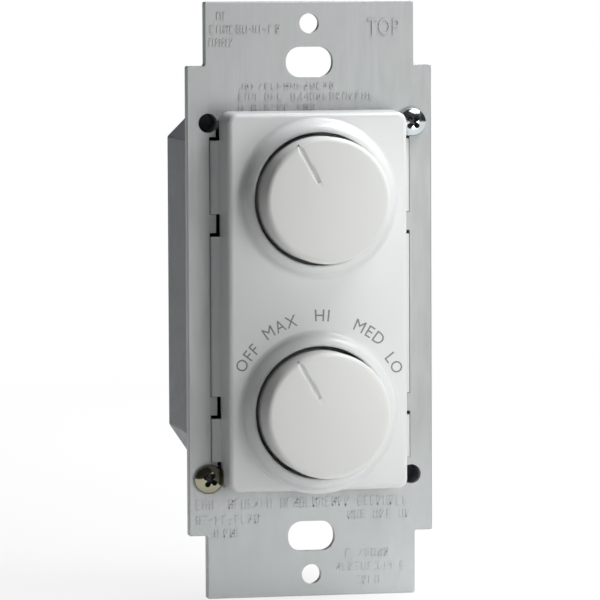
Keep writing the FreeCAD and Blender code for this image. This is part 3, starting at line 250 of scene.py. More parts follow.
def strapFinish(name, zinc):
    # zinc-dipped steel: pale and satin, soft cloudy patches, faint upright rolling marks; painted
    # light and shade brighten it low down and on the left
    finish = Finish(name)
    dull = linear(*zinc["dull"])
    clouds = finish.spread(finish.noise(*zinc["clouds"]), 0, 1, *zinc["cloudSpan"])
    rolled = finish.spread(finish.noise(*zinc["rolled"]), 0, 1, *zinc["rolledSpan"])
    worn = finish.mixed(rolled, dull, finish.mixed(clouds, dull, linear(*zinc["pale"])))
    # painted light: the strap is brighter towards its lower end, standing in for the light that
    # falls there
    place = finish.add("ShaderNodeSeparateXYZ", {0: finish.place}).outputs
    lowLightMask = finish.spread(place["Z"], 0, 1, zinc["paintedLowLightFrom"] * mm, zinc["paintedLowLightTo"] * mm)
    paintedLowLight = finish.mixed(lowLightMask, worn, linear(*zinc["paintedLowLight"]))
    # painted light and shade: lighter at the left edge, where the frame shades the strap, and
    # darker at the right one, nearest the lamps
    across = finish.spread(place["X"], 0, 1, -zinc["edge"] * mm, zinc["edge"] * mm)
    tone = finish.mixed(across, shaded(white, zinc["left"]), shaded(white, zinc["right"]))
    finish.look(Base_Color=finish.mixed(1.0, paintedLowLight, tone, "MULTIPLY"),
                Roughness=finish.spread(finish.noise(*zinc["gloss"]), *zinc["rough"]),
                Metallic=zinc["metallic"])
    finish.bump(finish.noise(*zinc["grain"]), zinc["grainDepth"])
    finish.bump(finish.noise(*zinc["lines"]), zinc["linesDepth"])
    return finish.material


plastics = {  # grey, tint, range of roughness, how much darker its patches are, grain's depth
    "framePlastic": (221, (0.99, 1.0, 1.0), (0.28, 0.33), 0.01, 0.003),
    "knobPlastic": (224, (1.0, 0.993, 0.98), (0.37, 0.44), 0.01, 0.004),
    "housingPlastic": (140, (0.93, 1.0, 1.08), (0.5, 0.62), 0.04, 0.008),
    "casePlastic": (42, (1, 1, 1.04), (0.45, 0.6), 0.15, 0.02),
    "phenolic": (120, (1.0, 0.62, 0.36), (0.5, 0.7), 0.2, 0.02),
    "carbon": (34, (1, 1, 1), (0.6, 0.8), 0.2, 0.01),
    "ferrite": (62, (1, 1, 1.03), (0.6, 0.8), 0.2, 0.03),
    "boardLaminate": (105, (0.6, 1.0, 0.55), (0.3, 0.45), 0.12, 0.01),
    "filmYellow": (205, (1.0, 0.7, 0.2), (0.25, 0.4), 0.1, 0.01),
    "filmGrey": (120, (0.9, 1.0, 1.15), (0.25, 0.4), 0.1, 0.01),
    "resistorLacquer": (150, (0.8, 1.0, 0.95), (0.5, 0.7), 0.15, 0.03),
    "discLacquer": (195, (1.0, 0.6, 0.25), (0.2, 0.35), 0.1, 0.02),
    "diodeGlass": (170, (1.0, 0.5, 0.25), (0.06, 0.15), 0.1, 0.0),
    "chipEpoxy": (40, (1, 1, 1.03), (0.5, 0.65), 0.15, 0.02),
    "heatSheet": (165, (0.96, 0.98, 1.05), (0.6, 0.8), 0.1, 0.01),
    "legendInk": (134, (0.97, 1.0, 1.02), (0.5, 0.6), 0.06, 0.0),
    # the dark finish laid in the screws' cross recesses is painted shade
    "recessGrime": (44, (0.9, 1.0, 1.05), (0.35, 0.6), 0.3, 0.0)}
metals = {  # grey, tint, range of roughness
    "zincPlate": (205, (0.95, 1.0, 1.06), (0.22, 0.42)),
    "brassPlate": (205, (1.0, 0.88, 0.6), (0.25, 0.42)),
    "springBrass": (215, (1.0, 0.82, 0.45), (0.2, 0.35)),
    "springSteel": (185, (1, 1, 1.02), (0.18, 0.3)),
    "tinnedWire": (215, (1, 1, 1), (0.25, 0.4)),
    "enamelCopper": (190, (1.0, 0.5, 0.28), (0.2, 0.32)),
    "tabCopper": (205, (1.0, 0.85, 0.72), (0.3, 0.45)),
    "brightZinc": (222, (0.93, 1.0, 1.03), (0.1, 0.2)),
    # painted shade: this lower screw's grey is darker than the upper screw's
    "yellowZinc": (172, (1.0, 0.95, 0.7), (0.08, 0.18))}
special = {  # what a finish has besides its row
    "framePlastic": {"grainScale": 2500, "gloss": (45, 0), "scatter": 0.05, "shine": 0.42},
    "knobPlastic": {"grainScale": 2600, "gloss": (60, 0), "scatter": 0.05, "shine": 0.42},
    "housingPlastic": {"grainScale": 2200}, "boardLaminate": {"coat": 0.3},
    "diodeGlass": {"coat": 0.6}, "tinnedWire": {"stretch": (1, 6, 1)},
    "brightZinc": {"vary": 0.05}, "yellowZinc": {"vary": 0.2}}
finishes = {"strapSteel": strapFinish("strapSteel", strapZinc)}
for make, rows in ((plastic, plastics), (metal, metals)):
    for finishName, row in rows.items():
        finishes[finishName] = make(finishName, *row, **special.get(finishName, {}))

nodeFinish = {
    "strapSteel": ["mounting_strap"],
    "framePlastic": ["face_frame"],
    "knobPlastic": ["light_knob", "fan_knob"],
    "housingPlastic": ["back_housing"],
    "zincPlate": ["housing_screws", "dimmer_washer", "selector_washer", "power_switch_screw",
                  "power_switch_nut"],
    "brassPlate": ["dimmer_front", "dimmer_nut", "dimmer_shaft", "selector_front",
                   "selector_nut", "selector_shaft"],
    "springBrass": ["dimmer_wiper", "dimmer_collector", "push_bridge", "push_contacts",
                    "selector_wiper", "selector_pads", "lead_eyelets"],
    "springSteel": ["push_spring", "selector_ball", "selector_spring"],
    "tinnedWire": ["dimmer_pins", "selector_pins", "power_switch_leads", "component_leads"],
    "enamelCopper": ["choke_winding"],
    "tabCopper": ["power_switch_tab"],
    "casePlastic": ["dimmer_case", "push_plunger", "selector_case"],
    "phenolic": ["dimmer_wheel", "dimmer_track_disc", "selector_wheel", "selector_wafer"],
    "carbon": ["dimmer_track"],
    "ferrite": ["choke_core"],
    "boardLaminate": ["circuit_board"],
    "filmYellow": ["filter_capacitor"],
    "filmGrey": ["speed_capacitor_large", "speed_capacitor_small"],
    "resistorLacquer": ["power_resistors"],
    "discLacquer": ["timing_capacitor"],
    "diodeGlass": ["trigger_diode"],
    "chipEpoxy": ["power_switch_body"],
    "heatSheet": ["power_switch_insulator"]}
for finishName, nodeNames in nodeFinish.items():
    for nodeName in nodeNames:
        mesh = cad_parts[nodeName].data
        mesh.materials.clear()
        mesh.materials.append(finishes[finishName])
print("materials:", len(finishes), "finishes on", sum(map(len, nodeFinish.values())), "nodes")


# Objects and meshes

# points this near are one, and edges this short or bends this flat, in degrees, go
welding = {"near": 0.002, "short": 0.001, "flat": 0.2}


def newObject(name, data):
    made = bpy.data.objects.new(name, data)
    bpy.context.collection.objects.link(made)
    return made


def meshObject(name, work, materials, smooth=None):
    # smooth is the bend in degrees from which an edge stays sharp
    mesh = bpy.data.meshes.new(name)
    work.to_mesh(mesh)
    work.free()
    for material in materials:
        mesh.materials.append(material)
    if smooth is not None:
        mesh.shade_smooth()
        mesh.set_sharp_from_angle(angle=math.radians(smooth))
    return newObject(name, mesh)


def addPiece(name, work, body, materials, smooth=None):
    piece = meshObject(name, work, materials, smooth)
    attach(piece, body)
    return piece


def evenNormals(piece):
    # large faces keep their own shading up to the rounded edges beside them
    normals = piece.modifiers.new("evenNormals", "WEIGHTED_NORMAL")
    normals.keep_sharp = True
    normals.weight = 100


def finalMesh(holder):
    # the mesh that an object's modifiers or letters make, in place of the object
    bpy.context.view_layer.update()
    seen = holder.evaluated_get(bpy.context.evaluated_depsgraph_get())
    mesh = bpy.data.meshes.new_from_object(seen)
    bpy.data.objects.remove(holder)
    return mesh


def grown(tree, name, **inputs):
    # runs a geometry node tree once and hands back its plain mesh
    holder = newObject(name, bpy.data.meshes.new(name))
    modifier = holder.modifiers.new("shape", "NODES")
    modifier.node_group = tree
    for socket in tree.interface.items_tree:
        if socket.in_out == "INPUT" and socket.name in inputs:
            modifier[socket.identifier] = inputs[socket.name]
    return finalMesh(holder)


def opened(mesh):
    # a bmesh in place of a mesh
    work = bmesh.new()
    work.from_mesh(mesh)
    bpy.data.meshes.remove(mesh)
    return work


def joinLoops(work, loops):
    # faces from each ring of points to the next
    for first, second in zip(loops, loops[1:]):
        for i in range(len(first)):
            j = (i + 1) % len(first)
            work.faces.new((first[i], first[j], second[j], second[i]))


def mergeInto(target, part, slots=None):
    # moves one bmesh's faces into another, each to its new material slot
    part.verts.index_update()
    copies = [target.verts.new(v.co) for v in part.verts]
    for face in part.faces:
        added = target.faces.new([copies[v.index] for v in face.verts])
        added.material_index = slots[face.material_index] if slots else 0
        added.smooth = face.smooth
    part.free()


# Outer mouldings: a welded copy of the CAD mesh, smooth but for its real edges

def smoothCopy(nodeName, pieceName, body, angle=32):
    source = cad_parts[nodeName]
    mesh = source.data.copy()
    work = bmesh.new()
    work.from_mesh(mesh)
    bmesh.ops.remove_doubles(work, verts=work.verts, dist=welding["near"] * mm)
    bmesh.ops.dissolve_degenerate(work, edges=work.edges, dist=welding["short"] * mm)
    bmesh.ops.dissolve_limit(work, verts=work.verts, edges=work.edges,
                             angle_limit=math.radians(welding["flat"]))
    for face in work.faces:
        face.smooth = True
    work.to_mesh(mesh)
    work.free()
    mesh.set_sharp_from_angle(angle=math.radians(angle))
    piece = newObject(pieceName, mesh)
    piece.matrix_world = source.matrix_world.copy()
    evenNormals(piece)
    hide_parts(nodeName)
    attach(piece, body)
    return piece


outer = [("mounting_strap", "strap_plate"), ("face_frame", "frame_moulding"),
         ("back_housing", "housing_cup")]
for nodeName, pieceName in outer:
    smoothCopy(nodeName, pieceName, "control")
print("outer pieces:", len(outer))

# The push switch's return coil, which on the real switch shortens against the case floor as the
# light knob goes in; here it is a smooth copy with a mesh of its own
coil = {"travel": 1.5, "smooth": 40}
returnCoil = smoothCopy("push_spring", "return_coil", "control", coil["smooth"])
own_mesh(returnCoil)


# Knobs: one profile turned about the shaft, four webs, and a tapered groove as pointer

knob = {  # lengths in millimetres, each an input of the node tree
    "Crown": 0.34, "Edge": 1.0, "Wall": 1.5, "Face": 1.8, "Draft": 0.1, "Lip": 0.35,
    "Hub": 4.8, "Hub Length": 6.7, "Bore": 3.02, "Bore Floor": 2.3,
    "Web": 1.0, "Web Back": 1.5, "Web Overlap": 0.8,
    "Groove": 2.2, "Groove Floor": 0.08, "Groove Depth": 0.74, "Groove Lift": 0.08,
    "Groove Start": 3.6, "Groove Past": 2.0,
    "Nick": 0.55, "Nick Length": 1.3, "Nick Depth": 0.3, "Nick Reach": 2.0}
knobShape = {"around": 96, "crownSteps": 6, "roundSteps": 6, "webs": 4, "smallLip": 0.7,
             "grooveTaper": 0.5, "weld": 0.01, "smooth": 40}
knobPieces = [  # node, piece, body, pointer's place in degrees clockwise from straight up
    ("light_knob", "light_knob_cap", "light_turn", -29),
    ("fan_knob", "fan_knob_cap", "fan_turn", -30)]


def knobBody(tree, given, inner):
    # the profile, from the middle of the face round the skirt to the bottom of the bore: distance
    # from the axis, depth behind the middle of the face, and rounding
    steps = knobShape["crownSteps"]
    crown = [(tree.times(given["Radius"], i / steps),
              tree.times(given["Crown"], (i / steps) ** 2), 0.0) for i in range(steps)]
    hubEnd = tree.plus(given["Face"], given["Hub Length"])
    small = tree.times(given["Lip"], knobShape["smallLip"])
    profile = [
        *crown,
        (given["Radius"], given["Crown"], given["Edge"]),
        (tree.minus(given["Radius"], given["Draft"]), given["Length"], given["Lip"]),
        (tree.plus(inner, given["Draft"]), given["Length"], small),
        (inner, given["Face"], small),
        (given["Hub"], given["Face"], small),
        (given["Hub"], hubEnd, small),
        (given["Bore"], hubEnd, small),
        (given["Bore"], given["Bore Floor"], 0.0),
        (0.0, given["Bore Floor"], 0.0)]
    points = [tree.vector(tree.minus(out, given["Radius"]), tree.times(depth, -1.0))
              for out, depth, rounding in profile]
    rounds = [rounding for out, depth, rounding in profile]
    line = tree.add("GeometryNodeMeshLine", {"Count": len(profile)}).outputs[0]
    shaped = tree.placed(line, tree.choice("VECTOR", points))
    curve = tree.add("GeometryNodeMeshToCurve", {"Mesh": shaped}).outputs[0]
    corners = {"Curve": curve, "Count": knobShape["roundSteps"],
               "Radius": tree.choice("FLOAT", rounds)}
    soft = tree.add("GeometryNodeFilletCurve", corners, mode="POLY").outputs[0]
    circle = {"Radius": given["Radius"], "Resolution": given["Around"]}
    path = tree.add("GeometryNodeCurvePrimitiveCircle", circle).outputs[0]
    swept = {"Curve": path, "Profile Curve": soft}
    turned = tree.add("GeometryNodeCurveToMesh", swept).outputs[0]
    near = {"Geometry": turned, "Distance": knobShape["weld"] * mm}
    closed = tree.add("GeometryNodeMergeByDistance", near).outputs[0]
    return tree.add("GeometryNodeFlipFaces", {"Mesh": closed}).outputs[0]


def grooveCutter(tree, given):
    # a V from past the rim toward the middle of the face, its inner end slimmer and shallower
    reach = tree.minus(tree.plus(given["Radius"], given["Groove Past"]), given["Groove Start"])
    bar = tree.block(given["Groove"], reach, tree.times(given["Groove Depth"], 2.0))
    here = tree.add("GeometryNodeInputPosition").outputs[0]
    x, y, z = tree.add("ShaderNodeSeparateXYZ", {0: here}).outputs
    deep = tree.maths("GREATER_THAN", z, 0.0)
    inward = tree.maths("LESS_THAN", y, 0.0)
    share = tree.maths("DIVIDE", given["Groove Floor"], given["Groove"])
    narrow = tree.minus(1.0, tree.times(deep, tree.minus(1.0, share)))
    slim = tree.minus(1.0, tree.times(inward, knobShape["grooveTaper"]))
    # the bar's outer side lies only the lift in front of the face
    lift = tree.maths("DIVIDE", given["Groove Lift"], given["Groove Depth"])
    rise = tree.plus(tree.times(deep, tree.minus(slim, lift)), lift)
    breadth = tree.times(tree.times(x, narrow), slim)
    tapered = tree.placed(bar, tree.vector(breadth, y, tree.times(z, rise)))
    middle = tree.plus(given["Groove Start"], tree.times(reach, 0.5))
    return tree.moved(tapered, tree.vector(0.0, middle, 0.0))


def nickCutter(tree, given):
    # a short bar that carries the pointer over the rounded edge into the skirt
    bar = tree.block(given["Nick"], given["Nick Reach"], tree.times(given["Nick Length"], 2.0))
    floor = tree.minus(given["Radius"], given["Nick Depth"])
    middle = tree.plus(floor, tree.times(given["Nick Reach"], 0.5))
    return tree.moved(bar, tree.vector(0.0, middle, 0.0))


def knobWebs(tree, given, inner):
    # a bar from the hub to the skirt, repeated round the shaft
    run = tree.minus(inner, given["Hub"])
    tall = tree.minus(given["Hub Length"], given["Web Back"])
    bar = tree.block(tree.plus(run, given["Web Overlap"]), given["Web"], tall)
    out = tree.plus(given["Hub"], tree.times(run, 0.5))
    up = tree.plus(given["Face"], tree.times(tall, 0.5))
    spots = {"Count": knobShape["webs"], "Offset": (0, 0, 0)}
    turn = tree.times(tree.number(), 2 * math.pi / knobShape["webs"])
    sockets = {"Points": tree.add("GeometryNodeMeshLine", spots).outputs[0],
               "Instance": tree.moved(bar, tree.vector(out, 0.0, up)),
               "Rotation": tree.vector(0.0, 0.0, turn)}
    return tree.add("GeometryNodeInstanceOnPoints", sockets).outputs[0]


def makeKnobTree(finish):
    floats = {name: "Float" for name in ["Radius", "Length", *knob]}
    tree = Growing("turnedKnob", **floats, Around="Int")
    given = tree.given
    inner = tree.minus(given["Radius"], given["Wall"])
    pointed = tree.without(knobBody(tree, given, inner), grooveCutter(tree, given))
    nicked = tree.without(pointed, nickCutter(tree, given))
    join = tree.add("GeometryNodeJoinGeometry")
    for shape in (nicked, knobWebs(tree, given, inner)):
        tree.set(join.inputs[0], shape)
    # the shaft's axis, so far upright, is laid along the depth, the groove pointing up
    laid = tree.moved(join.outputs[0], turn=(-math.pi / 2, math.pi, 0))
    return tree.finish(laid, finish)


def makeKnob(tree, node, piece, body, setting):
    low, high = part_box(node)
    sizes = {name: value * mm for name, value in knob.items()}
    mesh = grown(tree, piece, Radius=(high[0] - low[0]) / 2, Length=high[1] - low[1],
                 Around=knobShape["around"], **sizes)
    turned = Matrix.Rotation(math.radians(setting), 4, "Y")
    middle = Vector(((low[0] + high[0]) / 2, low[1], (low[2] + high[2]) / 2))
    mesh.transform(Matrix.Translation(middle) @ turned)
    work = opened(mesh)
    bmesh.ops.remove_doubles(work, verts=work.verts, dist=welding["near"] * mm)
    bmesh.ops.recalc_face_normals(work, faces=work.faces)
    made = addPiece(piece, work, body, [finishes["knobPlastic"]], knobShape["smooth"])
    evenNormals(made)
    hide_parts(node)


knobTree = makeKnobTree(finishes["knobPlastic"])
for row in knobPieces:
    makeKnob(knobTree, *row)
print("knobs made")

# The moulding's rings run into its face with a soft fillet
ringFillet = {"ring": 13.6, "rounding": 2.1, "roundingUp": 0.2, "size": 0.85, "face": -8.4,
              "steps": 8, "around": 160, "sunk": 0.25, "smooth": 30}


def filletProfile(sizes):
    # distance from the axis and height over the face: an arc that touches both the face and the
    # ring's rounding, and three points inside the moulding that close it
    size = sizes["size"]
    above = size - sizes["roundingUp"]
    across = math.sqrt((sizes["rounding"] + size) ** 2 - above ** 2)
    centre = sizes["ring"] - sizes["rounding"] + across
    start = 1.5 * math.pi
    end = math.pi + math.atan2(above, across)
    profile = []
    for step in range(sizes["steps"] + 1):
        angle = start + (end - start) * step / sizes["steps"]
        profile.append((centre + size * math.cos(angle), size + size * math.sin(angle)))
    inside = profile[-1][0] - sizes["sunk"]
    return profile + [(inside, profile[-1][1]), (inside, -sizes["sunk"]),
                      (centre, -sizes["sunk"])]


def makeRingFillets(sizes):
    profile = filletProfile(sizes)
    whole = bmesh.new()
    for row in knobPieces:
        low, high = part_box(row[0])
        axis = Vector(((low[0] + high[0]) / 2, 0, (low[2] + high[2]) / 2))
        loops = []
        for i in range(sizes["around"]):
            angle = 2 * math.pi * i / sizes["around"]
            loop = []
            for out, up in profile:
                spot = Vector((out * math.cos(angle), sizes["face"] - up, out * math.sin(angle)))
                loop.append(whole.verts.new(spot * mm + axis))
            loops.append(loop)
        joinLoops(whole, loops + loops[:1])
    bmesh.ops.recalc_face_normals(whole, faces=whole.faces)
    addPiece("ring_fillets", whole, "control", [finishes["framePlastic"]], sizes["smooth"])


makeRingFillets(ringFillet)
print("ring fillets made")


# Print and stamping

lettering = {"half": 0.5, "steps": 3, "weld": 0.003}


def letters(text, sizes, thick):
    # flat letters in their own plane, centred, in millimetres
    curve = bpy.data.curves.new(text, "FONT")
    curve.body = text
    curve.align_x = "CENTER"
    curve.space_character = sizes["spacing"]
    curve.extrude = lettering["half"]
    curve.resolution_u = lettering["steps"]
    work = opened(finalMesh(newObject(text, curve)))
    low = min(v.co.y for v in work.verts)
    high = max(v.co.y for v in work.verts)
    size = sizes["cap"] / (high - low)
    for v in work.verts:
        v.co = Vector((v.co.x * size * sizes["narrow"], (v.co.y - (low + high) / 2) * size,
                       (v.co.z + lettering["half"]) * thick))
    bmesh.ops.remove_doubles(work, verts=work.verts, dist=lettering["weld"])
    return work


legend = {"cap": 2.05, "spacing": 1.14, "narrow": 0.95, "thick": 0.03, "axis": -19.1,
          "face": -8.39,
          # distance from the fan knob's axis, and degrees clockwise from straight up
          "words": {"OFF": (16.0, -53.1), "MAX": (16.6, -25.0), "HI": (16.85, 2.1),
                    "MED": (16.55, 33.1), "LO": (15.8, 58.6)}}


def makeLegend():
    whole = bmesh.new()
    for word, (radius, angle) in legend["words"].items():
        marks = letters(word, legend, legend["thick"])
        for v in marks.verts:
            around = math.radians(angle) + v.co.x / radius
            out = radius + v.co.y
            v.co = Vector((out * math.sin(around), legend["face"] - v.co.z,
                           legend["axis"] + out * math.cos(around))) * mm
        mergeInto(whole, marks)
    addPiece("speed_legend", whole, "control", [finishes["legendInk"]])


makeLegend()

# Stamped rows: each sign is a few raised strokes, with no words in them
stamping = {
    "face": -1.6, "raise": 0.2, "stroke": 0.2, "width": 0.66, "pitch": 1.16, "filled": 0.84,
    "seedStep": 11,
    "rows": [  # left, right, height on the strap, height of the signs
        (-17.2, -12.2, 49.8, 1.3), (-17.2, -5.0, 47.5, 1.3), (-17.4, -12.8, 45.2, 1.3),
        (-12.2, 5.4, 37.5, 1.0), (-12.2, 12.6, 35.7, 1.1), (-12.2, 2.0, 33.75, 1.1),
        (-20.2, 18.9, -35.7, 1.6), (-20.2, -8.2, -38.4, 1.4), (7.0, 18.9, -38.1, 1.4),
        (-17.6, -12.0, -40.8, 1.4),
        (6.6, 15.2, -44.9, 1.25), (4.8, 17.0, -47.3, 1.3), (8.4, 13.4, -49.7, 1.3)]}
topWord = {"cap": 2.9, "spacing": 1.05, "narrow": 0.7, "across": 13.3, "up": 47.8, "sunk": 0.02}


def makeStampTree(finish):
    tree = Growing("stampedRow", Signs="Int", Pitch="Float", Width="Float", Height="Float",
                   Stroke="Float", Raise="Float", Seed="Int")
    given = tree.given
    spots = {"Count": given["Signs"], "Offset": tree.vector(given["Pitch"])}
    line = tree.add("GeometryNodeMeshLine", spots).outputs["Mesh"]

    def chance(share, offset):
        # a yes or no for each sign, the fourth output of its node
        sockets = {"Probability": share, "Seed": tree.plus(given["Seed"], offset)}
        return tree.add("FunctionNodeRandomValue", sockets, data_type="BOOLEAN").outputs[3]

    filled = chance(stamping["filled"], 0)
    join = tree.add("GeometryNodeJoinGeometry")
    right = tree.times(given["Width"], 0.5)
    left = tree.times(right, -1)
    top = tree.times(given["Height"], 0.5)
    foot = tree.times(top, -1)
    upright = (given["Stroke"], given["Raise"], given["Height"])
    level = (given["Width"], given["Raise"], given["Stroke"])
    strokes = [  # share of the signs that have it, place across and up, size, lean
        (0.8, left, 0.0, upright, 0), (0.42, right, 0.0, upright, 0), (0.6, 0.0, top, level, 0),
        (0.5, 0.0, 0.0, level, 0), (0.55, 0.0, foot, level, 0), (0.3, 0.0, 0.0, upright, 0.5)]
    for number, (share, across, up, size, lean) in enumerate(strokes):
        here = tree.add("FunctionNodeBooleanMath", {0: filled, 1: chance(share, number + 1)})
        bar = tree.moved(tree.block(*size), tree.vector(across, 0.0, up), (0, lean, 0))
        sockets = {"Points": line, "Instance": bar, "Selection": here.outputs[0]}
        signs = tree.add("GeometryNodeInstanceOnPoints", sockets).outputs["Instances"]
        tree.set(join.inputs[0], signs)
    return tree.finish(join.outputs[0], finish)


def makeStamping():
    tree = makeStampTree(finishes["strapSteel"])
    whole = bmesh.new()
    for row, (left, right, up, high) in enumerate(stamping["rows"]):
        signs = round((right - left) / stamping["pitch"])
        work = opened(grown(tree, "row", Signs=signs, Pitch=stamping["pitch"] * mm,
                            Width=stamping["width"] * mm, Height=high * mm,
                            Stroke=stamping["stroke"] * mm, Raise=stamping["raise"] * mm,
                            Seed=row * stamping["seedStep"]))
        shift = Vector((left, stamping["face"], up)) * mm
        for v in work.verts:
            v.co += shift
        mergeInto(whole, work)
    word = letters("TOP", topWord, stamping["raise"])
    front = stamping["face"] + topWord["sunk"]
    for v in word.verts:
        v.co = Vector((topWord["across"] + v.co.x, front - v.co.z, topWord["up"] + v.co.y)) * mm
    mergeInto(whole, word)
    addPiece("strap_stamping", whole, "control", [finishes["strapSteel"]])


makeStamping()
print("legend and stamping made")


# Pan head screws with a cross recess and a real thread

panScrew = {
    # across, up, turn, finish; both sit a little off the middle of their holes
    # the lower screw's finish is darker than the upper one's as painted shade
    "places": [(18.25, 31.0, 2, 0), (-18.35, -31.16, 12, 1)],
    # the last finish is painted shade for the cross recesses
    "finishes": ["brightZinc", "yellowZinc", "recessGrime"],
    # radius and depth, from the middle of the head back to its seat, and from the thread on
    "head": [(0.0, -3.3), (0.5, -3.29), (1.0, -3.24), (1.5, -3.12), (1.9, -2.94), (2.25, -2.68),
             (2.48, -2.38), (2.58, -2.1), (2.6, -1.9), (2.59, -1.68), (2.5, -1.61)],
    "point": [(1.062, 4.1), (0.649, 4.6)],
    "core": 1.18, "crest": 1.42, "pitch": 0.85, "flank": 3.2, "from": -1.6, "to": 3.9,
    "clear": 0.005, "runOut": 0.5, "around": 48, "perTurn": 8,
    "recess": 1.56, "arm": 0.42, "armEnd": 1.25, "endSteps": 6, "floor": -2.2, "above": 0.3,
    "mouth": 1.12, "taper": 0.4, "smooth": 35}


def threadedShape(sizes):
    # rings of points from the head's middle to the tip; the thread climbs with the angle
    around = sizes["around"]
    step = sizes["pitch"] / sizes["perTurn"]
    count = round((sizes["to"] - sizes["from"]) / step)
    first = sizes["from"] + sizes["clear"]
    rings = [(y, r, False) for r, y in sizes["head"][1:]]
    rings += [(first + i * step, sizes["core"], True) for i in range(count)]
    rings += [(y, r, False) for r, y in sizes["point"]]
    work = bmesh.new()
    loops = []
    for y, radius, threaded in rings:
        loop = []
        for i in range(around):
            angle = 2 * math.pi * i / around
            out = radius
            if threaded:
                phase = ((y - sizes["from"]) / sizes["pitch"] - i / around) % 1
                ridge = max(0, 1 - abs(phase - 0.5) * sizes["flank"])
                ends = min(y - sizes["from"], sizes["to"] - y) / sizes["runOut"]
                out += (sizes["crest"] - radius) * ridge * max(0, min(1, ends))
            loop.append(work.verts.new((out * math.cos(angle), y, out * math.sin(angle))))
        loops.append(loop)
    joinLoops(work, loops)
    for loop, y in ((loops[0], sizes["head"][0][1]), (loops[-1], sizes["point"][-1][1])):
        middle = work.verts.new((0, y, 0))
        for i in range(around):
            work.faces.new((loop[i], loop[(i + 1) % around], middle))
    bmesh.ops.recalc_face_normals(work, faces=work.faces)
    return work


def crossCutter(sizes, turn):
    # four arms with round ends, getting smaller toward the recess's floor
    arm = sizes["arm"]
    bend = arm * sizes["armEnd"]
    reach = sizes["recess"] - bend
    outline = []
    for quarter in range(4):
        corner = [(arm, -arm)]
        for i in range(sizes["endSteps"] + 1):
            angle = math.radians(180 * i / sizes["endSteps"] - 90)
            corner.append((reach + bend * math.cos(angle), bend * math.sin(angle)))
        spin = math.radians(90 * quarter + 45 + turn)
        cosine = math.cos(spin)
        sine = math.sin(spin)
        outline += [(x * cosine - z * sine, x * sine + z * cosine) for x, z in corner]
    top = sizes["head"][0][1] - sizes["above"]
    work = bmesh.new()
    loops = []
    for y, size in ((top, sizes["mouth"]), (sizes["floor"], sizes["taper"])):
        loops.append([work.verts.new((x * size, y, z * size)) for x, z in outline])
    work.faces.new(loops[0])
    work.faces.new(loops[1][::-1])
    joinLoops(work, loops)
    bmesh.ops.recalc_face_normals(work, faces=work.faces)
    return work


def makeScrews(sizes):
    whole = bmesh.new()
    materials = [finishes[name] for name in sizes["finishes"]]
    # the last material paints shade into each cross recess
    shadeSlot = len(materials) - 1
    for across, up, turn, slot in sizes["places"]:
        blank = meshObject("screwBlank", threadedShape(sizes), [materials[slot]])
        cutter = meshObject("crossCutter", crossCutter(sizes, turn), [materials[shadeSlot]])
        recess = blank.modifiers.new("recess", "BOOLEAN")
        recess.operation = "DIFFERENCE"
        recess.solver = "EXACT"
        recess.material_mode = "TRANSFER"
        recess.object = cutter
        mesh = finalMesh(blank)
        bpy.data.objects.remove(cutter)
        dark = [material.name for material in mesh.materials].index("recessGrime")
        part = opened(mesh)
        for v in part.verts:
            v.co = (v.co + Vector((across, 0, up))) * mm
        mergeInto(whole, part, {0: slot, dark: shadeSlot})
    piece = addPiece("pan_head_screws", whole, "control", materials, sizes["smooth"])
    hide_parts("housing_screws")


makeScrews(panScrew)
print("screws made")


# Camera and stage

shot = {"turn": 11.98, "rise": 4.04, "roll": -0.26, "away": 828.85, "aim": (-1.53, 0.0, -0.12),
        "lens": 283.1, "film": 36, "nearest": 10, "farthest": 200000}


def makeCamera():
    turn = math.radians(shot["turn"])
    rise = math.radians(shot["rise"])
    away = Vector((-math.sin(turn) * math.cos(rise), -math.cos(turn) * math.cos(rise),
                   math.sin(rise)))
    data = bpy.data.cameras.new("photoCamera")
    data.lens = shot["lens"]
    data.sensor_fit = "HORIZONTAL"
    data.sensor_width = shot["film"]
    data.clip_start = shot["nearest"] * mm
    data.clip_end = shot["farthest"] * mm
    camera = newObject("photoCamera", data)
    facing = (-away).to_track_quat("-Z", "Y").to_matrix().to_4x4()
    rolled = facing @ Matrix.Rotation(math.radians(shot["roll"]), 4, "Z")
    spot = Vector(shot["aim"]) * mm + away * shot["away"] * mm
    camera.matrix_world = Matrix.Translation(spot) @ rolled
    bpy.context.scene.camera = camera


makeCamera()

stage = {"floor": -52.35, "size": 60000, "paper": (0.86, 0.86, 0.86, 1), "rough": 0.9,
         "shade": 0.2, "shadeFrom": 100, "shadeTo": 500, "worldLight": 0.035}


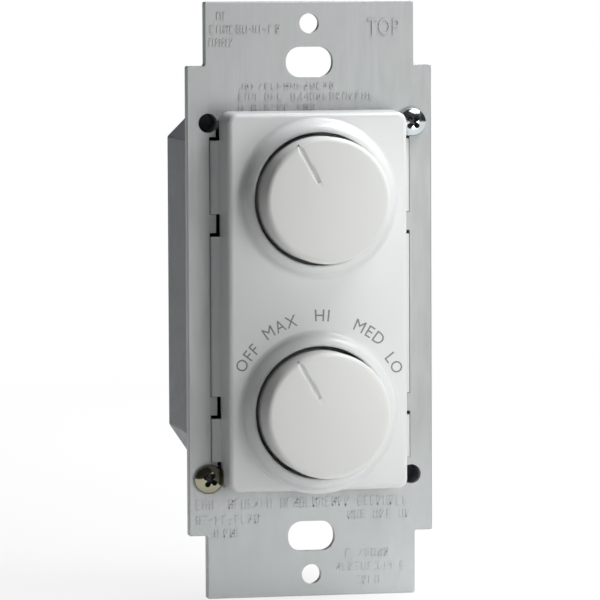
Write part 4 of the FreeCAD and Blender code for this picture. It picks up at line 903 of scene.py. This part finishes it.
def makeFloor():
    half = stage["size"] * mm / 2
    low = stage["floor"] * mm
    corners = [(-half, -half, low), (half, -half, low), (half, half, low), (-half, half, low)]
    mesh = bpy.data.meshes.new("floor")
    mesh.from_pydata(corners, [], [(0, 1, 2, 3)])
    floor = newObject("floor", mesh)
    paper = Finish("paperWhite")
    paper.look(Base_Color=stage["paper"], Roughness=stage["rough"], Specular_IOR_Level=0.0)
    glow = paper.add("ShaderNodeEmission", {"Color": white, "Strength": 1.0}).outputs[0]
    # it shows white to the camera and in gloss and glass, a little less near the object, where
    # the rest is paper that takes the soft shadow
    ray = paper.add("ShaderNodeLightPath").outputs
    seen = paper.maths("ADD", ray["Is Camera Ray"], ray["Is Glossy Ray"], use_clamp=True)
    seen = paper.maths("ADD", seen, ray["Is Transmission Ray"], use_clamp=True)
    distance = paper.add("ShaderNodeVectorMath", {0: paper.place}, operation="LENGTH")
    near = paper.spread(distance.outputs["Value"], 1 - stage["shade"], 1.0,
                        stage["shadeFrom"] * mm, stage["shadeTo"] * mm,
                        interpolation_type="SMOOTHSTEP")
    share = paper.maths("MULTIPLY", seen, near)
    sockets = {0: share, 1: paper.shader.outputs[0], 2: glow}
    mix = paper.add("ShaderNodeMixShader", sockets)
    paper.set(paper.tree.nodes["Material Output"].inputs["Surface"], mix.outputs[0])
    # the white is only there to be seen, so it isn't sampled as a lamp
    paper.material.cycles.emission_sampling = "NONE"
    mesh.materials.append(paper.material)


makeFloor()


def makeWorld(light):
    # a faint light from all round, white where the camera sees it
    world = bpy.data.worlds.new("studio")
    bpy.context.scene.world = world
    world.use_nodes = True
    sky = Nodes(world.node_tree)
    soft = sky.tree.nodes["Background"]
    sky.set(soft.inputs["Color"], white)
    sky.set(soft.inputs["Strength"], light)
    seen = sky.add("ShaderNodeBackground", {"Color": white, "Strength": 1.0})
    ray = sky.add("ShaderNodeLightPath").outputs["Is Camera Ray"]
    mix = sky.add("ShaderNodeMixShader", {0: ray, 1: soft.outputs[0], 2: seen.outputs[0]})
    sky.set(sky.tree.nodes["World Output"].inputs["Surface"], mix.outputs[0])


def makeLamp(name, spot, size, power, colour):
    data = bpy.data.lights.new(name, "AREA")
    data.shape = "SQUARE"
    data.size = size
    data.energy = power
    data.color = colour
    lamp = newObject(name, data)
    facing = (-Vector(spot)).to_track_quat("-Z", "Y")
    lamp.matrix_world = Matrix.Translation(Vector(spot)) @ facing.to_matrix().to_4x4()


lamps = {  # place and width in metres, power, colour; all aimed at the frame's origin
    "keyHigh": ((0.0575, -0.0482, 0.13), 0.07, 0.11, (0.985, 1.0, 1.01)),
    "keySide": ((0.1193, -0.0126, 0.2078), 0.1, 0.292, (0.985, 1.0, 1.02)),
    "frontNear": ((0.0634, -0.1359, 0.0), 0.07, 0.083, (0.975, 1.0, 0.97)),
    "backFill": ((0.17, 0.30, 0.2), 0.3, 1.6, (1.0, 1.0, 1.0))}
makeWorld(stage["worldLight"])
for lampName, settings in lamps.items():
    makeLamp(lampName, *settings)
bpy.context.scene.view_settings.view_transform = "Standard"
print("camera, floor and lamps set")
